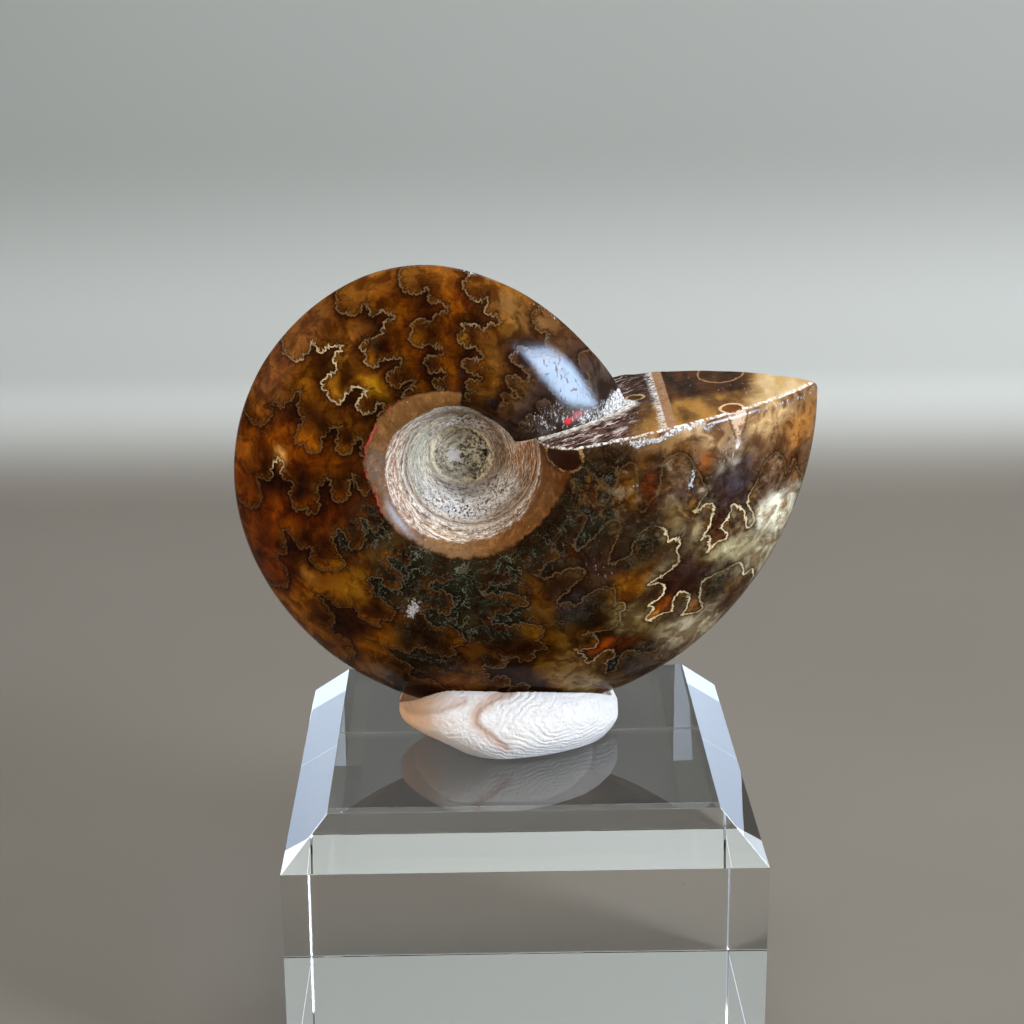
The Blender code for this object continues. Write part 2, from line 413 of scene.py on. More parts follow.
class Surface:
    """One procedural material, built node by node around its Principled shader."""

    def __init__(self, name):
        self.material = bpy.data.materials.new(name)
        self.material.use_nodes = True
        self.tree = self.material.node_tree
        self.shader = self.tree.nodes["Principled BSDF"]
        self.output = self.tree.nodes["Material Output"]
        self.at = self.scaled(self.node("TexCoord", "Object"), 1 / MM)  # in millimetres

    def plug(self, value, socket):
        if isinstance(value, Signal):
            self.tree.links.new(value.socket, socket)
        else:
            socket.default_value = value

    def node(self, kind, output, inputs=(), **settings):
        """Adds a node, fills its inputs by name or place, and gives one of its outputs."""
        node = self.tree.nodes.new("ShaderNode" + kind)
        for name, value in settings.items():
            setattr(node, name, value)
        for socket, value in inputs:
            self.plug(value, node.inputs[socket])
        return Signal(self, node.outputs[output])

    def set(self, **values):
        """Sets the shader's sockets: base_color is Base Color, and so on."""
        for name, value in values.items():
            socket = name.replace("_", " ").title().replace("Ior", "IOR")
            self.plug(value, self.shader.inputs[socket])

    def math(self, operation, *values, clamp=False):
        return self.node("Math", 0, enumerate(values), operation=operation, use_clamp=clamp)

    def vector(self, operation, *values):
        output = "Value" if operation in ("LENGTH", "DOT_PRODUCT") else "Vector"
        return self.node("VectorMath", output, enumerate(values), operation=operation)

    def scaled(self, vector, by):
        return self.node("VectorMath", "Vector", ((0, vector), ("Scale", by)), operation="SCALE")

    def mix(self, amount, a, b, way="MIX"):
        a, b = (colour if isinstance(colour, Signal) else rgba(colour) for colour in (a, b))
        return self.node("Mix", 2, ((0, amount), (6, a), (7, b)), data_type="RGBA", blend_type=way)

    def between(self, amount, a, b):
        """A number that goes from a to b as the amount goes from 0 to 1."""
        return self.node("Mix", 0, ((0, amount), (2, a), (3, b)))

    def ease(self, value, low, high, start=0.0, end=1.0):
        """Runs smoothly from start to end as the value goes from low to high."""
        given = enumerate((value, low, high, start, end))
        return self.node("MapRange", 0, given, interpolation_type="SMOOTHSTEP")

    def noise(self, per_mm, detail, roughness, distortion=0.0, at=None, stretch=None):
        """Smooth lumps from 0 to 1: how many per millimetre, and how many finer layers at what strength."""
        at = self.at if at is None else at
        if stretch is not None:
            at = self.vector("MULTIPLY", at, stretch)
        inputs = {"Vector": at, "Scale": per_mm, "Detail": detail, "Roughness": roughness}
        return self.node("TexNoise", "Fac", [*inputs.items(), ("Distortion", distortion)])

    def noise_along(self, length, per_mm):
        """Smooth noise along a line, its lumps set by the length along it in millimetres."""
        inputs = {"W": length, "Scale": per_mm, "Detail": 0.0}
        return self.node("TexNoise", "Fac", inputs.items(), noise_dimensions="1D")

    def warped(self, per_mm, detail, reach):
        """Each place, pushed about by up to half of this many millimetres."""
        inputs = {"Vector": self.at, "Scale": per_mm, "Detail": detail}
        push = self.vector("SUBTRACT", self.node("TexNoise", "Color", inputs.items()), (0.5, 0.5, 0.5))
        return self.vector("ADD", self.at, self.scaled(push, reach))

    def cells(self, per_mm):
        """Voronoi cells: the distance to the middle of each, and a random colour of its own."""
        distance = self.node("TexVoronoi", "Distance", (("Vector", self.at), ("Scale", per_mm)))
        return distance, Signal(self, distance.socket.node.outputs["Color"])

    def specks(self, per_mm, size, share):
        """Scattered small dots: 1 inside a dot. share is the part of the cells that hold one."""
        distance, colour = self.cells(per_mm)
        chosen = self.math("LESS_THAN", self.node("SeparateColor", 0, ((0, colour),)), share)
        return self.ease(distance, size * 0.6, size, 1.0, 0.0) * chosen

    def attribute(self, name, output="Fac"):
        return self.node("Attribute", output, attribute_name=name)

    def parts(self, vector):
        first = self.node("SeparateXYZ", 0, ((0, vector),))
        return [Signal(self, output) for output in first.socket.node.outputs]

    def out_of(self, place, unit, ellipse):
        """How far out each place is, with 1 on the ellipse. The unit is what the place counts in."""
        u, v, half_u, half_v = ellipse
        place = self.vector("SUBTRACT", self.vector("MULTIPLY", place, (*unit, 0.0)), (u, v, 0.0))
        return self.vector("LENGTH", self.vector("MULTIPLY", place, (1 / half_u, 1 / half_v, 1.0)))

    def bump(self, height, depth, strength):
        """A relief in the shading only, its depth in metres, for what is finer than the mesh."""
        return self.node("Bump", 0, (("Strength", strength), ("Distance", depth), ("Height", height)))


# ---------------------------------------------------------------- the ammonite's markings
# A suture is where a chamber wall meets the shell. Points run from the rim in to the umbilicus: how far
# from the tips of its lobes (0) towards the heads of its saddles (1), and its share of the whorl's height.
YOUNG_SUTURE = (
    (0.78, 1.02), (0.92, 0.96), (0.97, 0.91), (0.90, 0.865), (0.76, 0.835), (0.62, 0.84), (0.50, 0.86),
    (0.43, 0.83), (0.43, 0.785), (0.28, 0.775), (0.12, 0.765), (0.00, 0.74), (0.10, 0.715), (0.22, 0.715),
    (0.33, 0.695), (0.38, 0.655), (0.46, 0.64), (0.60, 0.665), (0.75, 0.66), (0.91, 0.64), (0.88, 0.605),
    (1.00, 0.57), (0.97, 0.53), (0.80, 0.505), (0.62, 0.515), (0.45, 0.51), (0.25, 0.48), (0.16, 0.455),
    (0.24, 0.43), (0.42, 0.425), (0.55, 0.43), (0.71, 0.41), (0.76, 0.375), (0.65, 0.335), (0.45, 0.325),
    (0.25, 0.33), (0.05, 0.305), (0.20, 0.275), (0.42, 0.27), (0.58, 0.255), (0.55, 0.225), (0.35, 0.215),
    (0.15, 0.20), (0.30, 0.175), (0.45, 0.165), (0.35, 0.14), (0.20, 0.12), (0.35, 0.09),
)
INNER_LOBES = (  # of the next two outlines
    (0.50, 0.345), (0.72, 0.335), (0.95, 0.31), (0.90, 0.28), (0.65, 0.265), (0.40, 0.25), (0.15, 0.235),
    (0.30, 0.205), (0.60, 0.20), (0.85, 0.19), (0.80, 0.16), (0.50, 0.15), (0.25, 0.135), (0.50, 0.115),
    (0.70, 0.10), (0.50, 0.07),
)
OLD_SUTURE = (
    (0.62, 1.02), (0.78, 0.985), (0.86, 0.95), (0.76, 0.92), (0.82, 0.90), (0.87, 0.87), (0.72, 0.855),
    (0.62, 0.82), (0.60, 0.775), (0.48, 0.785), (0.42, 0.805), (0.35, 0.85), (0.25, 0.835), (0.30, 0.785),
    (0.40, 0.76), (0.43, 0.725), (0.34, 0.71), (0.22, 0.74), (0.14, 0.725), (0.17, 0.705), (0.00, 0.69),
    (0.14, 0.675), (0.10, 0.645), (0.22, 0.65), (0.33, 0.655), (0.40, 0.63), (0.38, 0.60), (0.28, 0.57),
    (0.42, 0.58), (0.52, 0.60), (0.64, 0.62), (0.76, 0.605), (0.80, 0.575), (0.93, 0.575), (0.92, 0.54),
    (0.85, 0.53), (0.98, 0.50), (1.00, 0.465), (0.92, 0.425), (0.75, 0.42), (0.55, 0.42), (0.42, 0.40),
    (0.22, 0.385), (0.32, 0.355), *INNER_LOBES,
)
LEAF_SUTURE = (
    (0.53, 1.02), (0.66, 0.99), (0.76, 0.97), (0.80, 0.945), (0.74, 0.925), (0.80, 0.90), (0.84, 0.865),
    (0.78, 0.835), (0.68, 0.79), (0.60, 0.765), (0.50, 0.785), (0.42, 0.815), (0.35, 0.858), (0.28, 0.835),
    (0.23, 0.798), (0.31, 0.785), (0.37, 0.77), (0.43, 0.735), (0.41, 0.708), (0.33, 0.706), (0.26, 0.725),
    (0.19, 0.742), (0.15, 0.72), (0.06, 0.708), (-0.03, 0.69), (0.07, 0.672), (0.14, 0.66), (0.12, 0.637),
    (0.20, 0.645), (0.36, 0.64), (0.40, 0.61), (0.37, 0.588), (0.31, 0.566), (0.40, 0.573), (0.49, 0.588),
    (0.60, 0.605), (0.68, 0.61), (0.76, 0.598), (0.80, 0.58), (0.89, 0.578), (0.93, 0.55), (0.87, 0.53),
    (0.97, 0.503), (1.02, 0.475), (1.00, 0.44), (0.93, 0.42), (0.80, 0.412), (0.66, 0.412), (0.54, 0.424),
    (0.42, 0.40), (0.27, 0.38), (0.36, 0.358), *INNER_LOBES,
)
LAST_SUTURE = (
    (0.55, 1.02), (0.66, 0.985), (0.72, 0.95), (0.80, 0.93), (0.70, 0.905), (0.80, 0.885), (0.88, 0.84),
    (0.80, 0.805), (0.66, 0.79), (0.52, 0.775), (0.44, 0.79), (0.38, 0.82), (0.30, 0.835), (0.25, 0.828),
    (0.32, 0.795), (0.39, 0.78), (0.43, 0.75), (0.46, 0.725), (0.35, 0.722), (0.23, 0.712), (0.19, 0.74),
    (0.13, 0.752), (0.11, 0.728), (0.04, 0.712), (-0.02, 0.703), (0.07, 0.69), (0.14, 0.67), (0.08, 0.652),
    (0.22, 0.658), (0.35, 0.65), (0.45, 0.64), (0.44, 0.61), (0.33, 0.585), (0.46, 0.583), (0.56, 0.60),
    (0.70, 0.57), (0.84, 0.535), (0.98, 0.50), (1.00, 0.465), (0.92, 0.425), (0.75, 0.42), (0.55, 0.42),
    (0.42, 0.40), (0.25, 0.385), (0.32, 0.355), (0.50, 0.345), (0.72, 0.335), (0.95, 0.31), (0.88, 0.28),
    (0.65, 0.265), (0.40, 0.25), (0.20, 0.235), (0.30, 0.205), (0.60, 0.20), (0.80, 0.17), (0.55, 0.15),
    (0.35, 0.13), (0.60, 0.10), (0.50, 0.07),
)
SUTURES = (  # turn of the lobe tips, degrees from there to the saddles, outline
    (8, 17, YOUNG_SUTURE), (31, 17, YOUNG_SUTURE), (57, 16.5, YOUNG_SUTURE), (77, 16.5, YOUNG_SUTURE),
    (96.5, 17, YOUNG_SUTURE), (117.5, 16.5, YOUNG_SUTURE), (139, 17, YOUNG_SUTURE),
    (162, 18, YOUNG_SUTURE), (185, 18.5, YOUNG_SUTURE), (209, 20, YOUNG_SUTURE), (233, 21, YOUNG_SUTURE),
    (258, 22, OLD_SUTURE), (284, 22, OLD_SUTURE), (305.5, 24.5, LEAF_SUTURE), (327.5, 25, LAST_SUTURE),
)
NARROWING = 0.0016  # the young outline draws in towards the umbilicus by this for each degree
NARROWING_START = 118
SUTURE_STEP = 0.06  # mm between its points
SCALLOPS = ((1.9, 0.27),)  # mm from cusp to cusp, and how deep, on a full-size whorl
LEAF_SCALLOPS = ((0.8, 0.07), (0.42, 0.055))  # on the last two, whose outlines are closer already
LEAF_START = 300
LEAF_FRILLS = 0.16  # how much of the material's own fine frills they take; the one before takes some
FULL_WHORL = 17.0  # mm from seam to rim


def scalloped(length, pitch, depth, random):
    """Round bumps between cusps, of uneven width and depth, along a line of this many millimetres."""
    ends = np.cumsum(pitch * random.uniform(0.6, 1.4, int(length / pitch / 0.6) + 2))
    depths = depth * random.uniform(0.45, 1.35, len(ends))
    starts = np.concatenate([[0], ends[:-1]])

    def offset(at):
        k = np.clip(np.searchsorted(ends, at), 0, len(ends) - 1)
        inside = np.clip((at - starts[k]) / (ends[k] - starts[k]), 0, 1)
        return depths[k] * (np.sin(np.pi * inside) ** 0.8 - 0.55)

    return offset


def suture_line(tip, reach, outline, random):
    """Closely spaced turns and shares along one suture, crinkled like a leaf's edge."""
    across, share = (np.array(values) for values in zip(*outline))
    if outline is YOUNG_SUTURE:
        share = share ** (1 + NARROWING * (tip - NARROWING_START))
    turn = tip + reach * across
    size = float(venter_radius(tip + reach) - seam_radius(tip + reach)) / MM

    def wide(turn, share):
        return np.radians(1.0) * (seam_radius(turn) / MM + share * size)

    x = np.concatenate([[0], np.cumsum(np.diff(turn) * wide(turn[1:], share[1:]))])
    y = share * size
    length = np.concatenate([[0], np.cumsum(np.hypot(np.diff(x), np.diff(y)))])
    at = np.arange(0, length[-1], SUTURE_STEP)
    turn = smooth_through(list(zip(length, turn)), at)
    share = smooth_through(list(zip(length, share)), at)
    for pitch, depth in LEAF_SCALLOPS if tip > LEAF_START else SCALLOPS:
        grown = size / FULL_WHORL
        offset = scalloped(length[-1], pitch * grown, depth * grown, random)(at)
        along = np.gradient(turn) * wide(turn, share), np.gradient(share) * size
        norm = np.hypot(*along)
        turn = turn - offset * along[1] / norm / wide(turn, share)
        share = share + offset * along[0] / norm / size
    return turn, share


# Colours of the calcite over the folded chamber walls, and in the clear gaps between one wall and the next.
OVER_WALLS = (
    (0, (66, 58, 54)), (30, (64, 46, 38)), (55, (64, 32, 16)), (80, (58, 20, 3)), (110, (66, 29, 5)),
    (135, (66, 30, 5)), (165, (40, 12, 2)), (190, (54, 20, 3)), (215, (48, 20, 4)), (240, (42, 20, 6)),
    (265, (46, 20, 5)), (295, (54, 30, 11)), (320, (58, 38, 22)), (345, (74, 56, 42)), (360, (128, 98, 68)),
)
IN_GAPS = (
    (0, (80, 66, 50)), (52, (108, 72, 22)), (75, (132, 68, 4)), (95, (134, 72, 4)), (112, (140, 86, 18)),
    (135, (126, 78, 12)), (158, (136, 72, 4)), (183, (108, 48, 2)), (205, (142, 88, 12)), (229, (122, 74, 6)),
    (252, (120, 70, 8)), (281, (124, 82, 8)), (303, (104, 86, 48)), (330, (112, 98, 64)),
    (360, (148, 116, 76)),
)
MOSS = (25, 28, 18)
MOSS_PATCHES = (  # dendrites like black-green moss fill the lobes here: turn, share, half-widths, how much
    (190, 0.26, 10, 0.09, 1.0), (193, 0.41, 7, 0.05, 0.9), (222, 0.27, 17, 0.17, 1.0),
    (222, 0.42, 9, 0.05, 0.9), (248, 0.28, 26, 0.19, 1.0), (268, 0.38, 11, 0.09, 1.0),
    (243, 0.66, 9, 0.10, 0.55), (296, 0.81, 6, 0.035, 0.9), (321, 0.80, 6, 0.055, 0.95),
    (322, 0.45, 9, 0.045, 0.9), (295, 0.47, 10, 0.06, 0.7), (300, 0.14, 60, 0.06, 0.8),
    (262, 0.60, 7, 0.05, 0.6), (345, 0.60, 6, 0.05, 0.5), (340, 0.24, 16, 0.05, 0.5),
    (232, 0.20, 44, 0.11, 1.0), (255, 0.44, 18, 0.06, 0.9), (236, 0.55, 6, 0.05, 0.7),
    (322, 0.22, 22, 0.07, 0.8),
)
FRONT_PATCHES = (  # turn, share, half-widths, colour, strength
    (180, 0.08, 400, 0.17, (34, 13, 5), 0.8), (140, 0.27, 50, 0.10, (36, 10, 3), 0.6),
    (110, 1.00, 70, 0.13, (132, 82, 26), 0.8), (285, 0.2, 70, 0.14, (30, 20, 10), 0.6),
    (135, 0.88, 22, 0.10, (140, 88, 36), 0.65), (50, 0.88, 15, 0.10, (126, 92, 52), 0.7),
    (11, 0.45, 15, 0.55, (68, 62, 60), 0.85), (20, 0.35, 12, 0.14, (56, 46, 42), 0.6),
    (117, 0.42, 4, 0.09, (186, 134, 24), 0.85), (129, 0.58, 5, 0.06, (172, 112, 24), 0.85),
    (113, 0.72, 8, 0.08, (132, 86, 40), 0.6), (122, 0.66, 4, 0.04, (150, 100, 36), 0.5),
    (72, 0.60, 3, 0.08, (150, 104, 24), 0.7), (93, 0.57, 3, 0.07, (122, 74, 10), 0.6),
    (163.5, 0.72, 3, 0.035, (214, 160, 84), 0.9), (170, 0.57, 7, 0.06, (34, 12, 4), 0.85),
    (160, 0.94, 8, 0.05, (140, 76, 12), 0.6), (175, 0.93, 10, 0.08, (110, 50, 3), 0.7),
    (195, 0.88, 8, 0.12, (100, 42, 2), 0.6), (217, 0.93, 9, 0.08, (122, 74, 10), 0.7),
    (200, 0.70, 4, 0.05, (160, 110, 36), 0.8), (209, 0.52, 8, 0.10, (136, 92, 16), 0.8),
    (204, 0.25, 6, 0.12, (118, 76, 8), 0.75), (180, 0.42, 7, 0.25, (84, 34, 2), 0.5),
    (222, 0.55, 6, 0.10, (64, 26, 4), 0.6), (235, 0.9, 5, 0.1, (90, 72, 44), 0.5),
    (192, 0.945, 2, 0.02, (14, 10, 8), 0.95), (171, 0.60, 2.2, 0.03, (18, 12, 10), 0.9),
    (45, 0.205, 5, 0.035, (26, 36, 46), 0.95), (70, 0.37, 1.6, 0.05, (26, 34, 40), 0.9),
    (66, 0.235, 4, 0.022, (20, 26, 32), 0.95), (80, 0.235, 4, 0.018, (20, 24, 30), 0.9),
    (90, 0.40, 1.2, 0.04, (22, 28, 34), 0.8), (106, 0.30, 3, 0.025, (22, 26, 30), 0.8),
    (107, 0.62, 2.5, 0.03, (60, 52, 34), 0.8),
    (283, 0.88, 4, 0.20, (150, 128, 88), 0.7), (282, 0.74, 7, 0.08, (118, 88, 44), 0.55),
    (283, 0.28, 6, 0.15, (112, 66, 6), 0.8), (292, 0.665, 3.5, 0.035, (150, 66, 10), 0.9),
    (297, 0.72, 4, 0.04, (78, 34, 12), 0.7), (310, 0.36, 9, 0.09, (62, 38, 32), 0.9),
    (327, 0.30, 20, 0.26, (36, 22, 12), 0.85), (348, 0.22, 14, 0.18, (40, 22, 10), 0.85),
    (294, 0.42, 6, 0.07, (62, 54, 58), 0.8), (311, 0.49, 8, 0.06, (142, 88, 12), 0.95),
    (307, 0.20, 7, 0.06, (92, 42, 6), 0.8), (303, 0.62, 4, 0.07, (138, 124, 82), 0.8),
    (308, 0.90, 8, 0.11, (170, 160, 132), 0.95), (303, 0.97, 4, 0.04, (84, 60, 30), 0.7),
    (319, 0.93, 4, 0.06, (62, 34, 14), 0.9), (328, 0.93, 5, 0.07, (182, 176, 146), 0.9),
    (337, 0.92, 4.6, 0.08, (238, 236, 214), 1.0), (329, 0.79, 4, 0.08, (176, 166, 130), 0.9),
    (348, 0.665, 1.8, 0.035, (206, 200, 190), 0.9), (345, 0.585, 1.5, 0.02, (196, 182, 160), 0.8),
    (330, 0.60, 4, 0.06, (128, 116, 92), 0.85), (336, 0.50, 5, 0.05, (130, 110, 70), 0.8),
    (318, 0.565, 4, 0.035, (134, 122, 92), 0.7), (352, 0.47, 3, 0.04, (150, 112, 62), 0.7),
    (322, 0.45, 6, 0.06, (50, 38, 26), 0.8), (344, 0.52, 5, 0.06, (66, 50, 44), 0.8),
    (346, 0.92, 3.5, 0.07, (92, 52, 18), 0.9), (354, 0.94, 4, 0.07, (156, 104, 48), 0.9),
    (356, 0.80, 3.5, 0.07, (196, 164, 116), 0.9), (350, 0.80, 3, 0.06, (98, 66, 40), 0.8),
    (352, 0.66, 3, 0.05, (148, 130, 110), 0.7), (357, 0.55, 3, 0.08, (178, 148, 110), 0.85),
    (350, 0.57, 3, 0.03, (140, 78, 30), 0.85), (355, 0.44, 4, 0.05, (128, 98, 58), 0.7),
    (342, 0.385, 4, 0.025, (104, 46, 16), 0.85), (342, 0.30, 7, 0.045, (112, 72, 16), 0.85),
    (352, 0.35, 4, 0.04, (96, 62, 24), 0.7), (334, 0.42, 4, 0.03, (70, 62, 50), 0.8),
    (251, 0.135, 3.5, 0.010, (232, 222, 180), 0.95), (330, 0.19, 10, 0.03, (84, 36, 8), 0.6),
    (5, 0.545, 1.3, 0.035, (255, 44, 62), 1.0), (4.5, 0.62, 2.0, 0.05, (214, 120, 132), 0.7),
)
# What the last two lobes hold, inside their leaf-like outlines: turn, share, half-widths, colour, strength.
LEAF_PATCHES = (
    (318, 0.69, 10, 0.09, (50, 20, 14), 1.0), (325, 0.70, 5, 0.05, (66, 46, 46), 0.7),
    (307, 0.69, 4, 0.03, (214, 128, 34), 1.0), (311, 0.695, 3, 0.05, (150, 74, 16), 0.9),
    (314, 0.80, 3, 0.06, (150, 96, 44), 0.9), (313, 0.61, 3, 0.05, (110, 56, 22), 0.8),
    (341, 0.70, 11, 0.09, (52, 36, 38), 1.0), (346, 0.73, 5, 0.07, (78, 72, 80), 0.8),
    (330, 0.70, 3, 0.04, (156, 100, 44), 1.0), (334, 0.70, 3, 0.05, (84, 44, 26), 0.85),
    (336, 0.80, 3, 0.05, (120, 100, 76), 0.8), (337, 0.61, 3, 0.05, (92, 72, 60), 0.8),
)
BACK_PATCHES = (
    (180, 0.10, 400, 0.20, (44, 24, 9), 0.75), (120, 0.96, 90, 0.16, (122, 74, 24), 0.7),
    (40, 0.60, 30, 0.40, (84, 58, 30), 0.6), (75, 0.50, 8, 0.30, (104, 60, 10), 0.6),
    (100, 0.35, 14, 0.14, (38, 20, 8), 0.7), (128, 0.60, 8, 0.20, (132, 84, 20), 0.7),
    (150, 0.40, 12, 0.12, (42, 20, 8), 0.6), (172, 0.75, 12, 0.16, (118, 62, 8), 0.7),
    (200, 0.45, 10, 0.25, (110, 72, 14), 0.7), (215, 0.25, 20, 0.14, (32, 32, 18), 0.85),
    (240, 0.72, 14, 0.16, (104, 58, 8), 0.7), (262, 0.35, 16, 0.16, (34, 32, 18), 0.85),
    (280, 0.66, 8, 0.30, (98, 70, 18), 0.8), (300, 0.84, 12, 0.12, (130, 118, 86), 0.8),
    (318, 0.68, 10, 0.08, (72, 40, 24), 0.8), (310, 0.45, 10, 0.08, (112, 70, 14), 0.8),
    (332, 0.86, 10, 0.10, (150, 140, 106), 0.8), (338, 0.60, 12, 0.10, (92, 72, 60), 0.7),
    (330, 0.25, 30, 0.14, (36, 24, 12), 0.8), (354, 0.80, 6, 0.20, (176, 142, 94), 0.8),
)
# Painted light and shade: these patches make the flank lighter or darker by place, where light falls on it
# differently.
PAINTED_LIGHT_AND_SHADE = (  # of the flank, against the colours above
    (90, 0.60, 32, 0.24, 0.70), (98, 0.34, 24, 0.14, 0.62), (78, 0.86, 20, 0.10, 0.85),
    (178, 0.74, 30, 0.30, 1.6), (218, 0.74, 26, 0.30, 1.70), (262, 0.60, 14, 0.16, 1.15),
    (285, 0.72, 12, 0.12, 0.95),
    (308, 0.80, 16, 0.24, 1.35), (346, 0.62, 20, 0.36, 1.65), (350, 0.33, 16, 0.10, 1.3),
)
LINE_PATCHES = (  # how clearly the sutures show
    (125, 0.65, 14, 0.35, 0.8), (103, 0.65, 12, 0.25, 0.6), (68, 0.75, 10, 0.25, 0.6),
    (168, 0.60, 12, 0.25, 0.5), (163, 0.73, 5, 0.05, 0.9), (312, 0.70, 12, 0.17, 1.0),
    (334, 0.70, 9, 0.15, 1.0), (327, 0.52, 5, 0.08, 0.95), (324, 0.92, 5, 0.07, 0.9),
    (230, 0.30, 50, 0.14, 0.5), (20, 0.50, 16, 0.50, 0.3), (180, 0.06, 400, 0.13, 0.0),
    (340, 0.30, 16, 0.16, 0.25), (262, 0.60, 8, 0.05, 0.6), (290, 0.70, 7, 0.12, 0.65),
)
LINE_SHOWS = 0.45  # how clearly they show elsewhere
# Patches along the rim at shares near 0.985 are a painted highlight on its edge. Those at turns 356 to 359
# run along the cut's front edge: partly frost, partly a painted highlight there.
FROST_AND_HIGHLIGHT_PATCHES = (  # white crystalline calcite and chips
    (2, 0.95, 5.5, 0.28, 0.95), (3, 0.66, 4.5, 0.10, 0.8), (10, 0.42, 11, 0.28, 0.50),
    (24, 0.72, 16, 0.12, 0.42), (234, 0.41, 3.2, 0.07, 0.8), (358.6, 0.44, 1.8, 0.20, 0.95),
    (358.9, 0.84, 0.9, 0.22, 0.6), (358.0, 0.20, 1.6, 0.10, 0.5),
    (346, 0.53, 3, 0.02, 0.75), (351, 0.66, 3, 0.05, 0.4), (343, 0.34, 2, 0.03, 0.4),
    (350, 0.25, 6, 0.05, 0.28), (72, 0.985, 3, 0.02, 0.6), (45, 0.985, 16, 0.010, 0.5),
    (310, 0.35, 10, 0.10, 0.30), (340, 0.93, 5, 0.06, 0.35), (356, 0.78, 3, 0.15, 0.3),
)
# The umbilical wall keeps a smooth translucent band, above a rough crust. Turn, share.
BAND_START = 67.5
BAND_OUTER = ((0, 0.19), (67, 0.205), (100, 0.235), (122, 0.265), (135, 0.245), (158, 0.215),
              (170, 0.165), (190, 0.145), (220, 0.105), (250, 0.088), (330, 0.082), (360, 0.13))
BAND_INNER = ((0, 0.085), (40, 0.05), (67, 0.09), (110, 0.10), (128, 0.125), (160, 0.095),
              (200, 0.07), (250, 0.035), (310, 0.015), (360, 0.004))
BAND = (110, 74, 38)
BAND_PATCHES = (
    (80, 0.15, 20, 0.1, (134, 92, 44), 0.7), (120, 0.2, 30, 0.1, (122, 84, 42), 0.6),
    (158, 0.17, 14, 0.06, (120, 108, 98), 0.8), (196, 0.11, 12, 0.06, (126, 112, 100), 0.6),
    (240, 0.07, 30, 0.05, (126, 98, 64), 0.8), (300, 0.05, 30, 0.05, (118, 78, 38), 0.7),
    (345, 0.06, 12, 0.06, (110, 60, 18), 0.8), (353, 0.035, 7, 0.045, (40, 20, 8), 1.0),
)
# Inside the umbilicus: direction from the spiral's centre in degrees, radius in mm, half-widths.
# The crust's base colour below is partly the rock's own tone and partly painted light, lifting the shade deep
# in the umbilicus.
CRUST_TONE_AND_LIGHT = (176, 146, 112)
CRUST_PATCHES = (
    (170, 3.9, 62, 1.1, (212, 216, 188), 0.95), (85, 3.9, 30, 1.0, (178, 176, 150), 0.9),
    (10, 4.0, 45, 1.3, (168, 136, 98), 0.9), (262, 4.4, 60, 1.3, (244, 248, 250), 0.95),
    (320, 4.6, 22, 1.0, (196, 188, 172), 0.7), (180, 6.2, 30, 0.8, (184, 128, 88), 0.8),
    (105, 5.7, 45, 0.8, (196, 192, 180), 0.85), (60, 5.2, 25, 0.9, (148, 124, 104), 0.8),
    (222, 6.4, 26, 0.9, (182, 132, 82), 0.8), (262, 6.3, 34, 0.8, (200, 160, 116), 0.8),
    (312, 6.6, 30, 1.2, (134, 92, 54), 0.85), (20, 6.2, 30, 1.0, (110, 84, 62), 0.8),
    (200, 2.75, 90, 0.16, (246, 238, 214), 0.85), (262, 7.6, 34, 0.8, (158, 100, 48), 0.8),
    (10, 5.8, 17, 1.3, (206, 134, 58), 1.0), (340, 6.4, 12, 1.0, (160, 104, 56), 0.8),
)
PEPPER_PATCHES = (  # black and white grains
    (262, 4.3, 62, 1.2, 1.0), (318, 4.2, 26, 1.1, 0.9), (80, 3.4, 45, 0.9, 0.8), (100, 5.5, 40, 0.7, 0.5),
    (40, 5.0, 22, 0.8, 0.6), (170, 4.0, 50, 0.9, 0.22), (215, 6.5, 50, 0.9, 0.35), (300, 6.0, 40, 0.9, 0.4),
)
GRAIN_PATCHES = ((185, 6.3, 34, 0.8, 1.0), (230, 6.8, 22, 0.8, 0.6), (262, 6.9, 30, 0.6, 0.35))  # crystals
# Painted light: the core's colour is lifted well above its own pale tone, against the shade of its deep
# hollow.
CORE_TONE_AND_LIGHT = (178, 170, 138)
CORE_RADIUS = (2.3, 2.7)


def band_edges(turn):
    return smooth_through(BAND_OUTER, turn), smooth_through(BAND_INNER, turn)


REACH = 4.0  # mm; distances that the material reads stop here


class ShellPlaces:
    """Where each vertex of the shell lies, in the terms that its markings are given in."""

    def __init__(self, shell, points):
        self.turn, radius, self.side = (
            np.array(values, float) for values in (shell.turns, shell.radii, shell.sides)
        )
        given = np.zeros(len(points), bool)
        given[list(shell.extra)] = True
        self.cut = given & (self.turn > 359)
        outline = [shell.vertex(0, ring, side) for ring in range(WALL_RINGS, RINGS + 1) for side in (1, -1)]
        cores = [index for index, (kind, _) in shell.extra.items() if kind == "core"]
        # Across the cut, mm from the older whorl; elsewhere from the middle of the umbilicus.
        self.contact = nearest_mm(points, points[cores])
        self.contact[self.cut] = nearest_mm(points[self.cut], points[outline])
        self.last = (self.turn >= 0) & ~given
        self.points = points
        self.radius = np.hypot(points[:, 0], points[:, 1])
        seam = seam_radius(self.turn)
        self.past_seam = np.clip((self.radius - seam_radius(self.turn % 360)) / MM, -REACH, REACH)
        self.height = venter_radius(self.turn) - seam
        self.share = np.clip((radius - seam) / self.height, 0, 1)
        self.direction = np.degrees(np.arctan2(points[:, 1], points[:, 0]))
        outer, inner = band_edges(np.clip(self.turn, 0, 360))
        past_start = np.radians(self.turn - BAND_START) * self.radius
        in_band = np.minimum((outer - self.share) * self.height, past_start) / MM
        off_crust = (self.share - inner) * self.height / MM
        self.in_band, self.off_crust = (
            np.where(self.last, np.clip(distance, -REACH, REACH), -REACH) for distance in (in_band, off_crust)
        )
        self.off_crust[self.cut] = REACH


def nearest_mm(points, others):
    return np.linalg.norm(points[:, None] - others[None], axis=2).min(axis=1) / MM


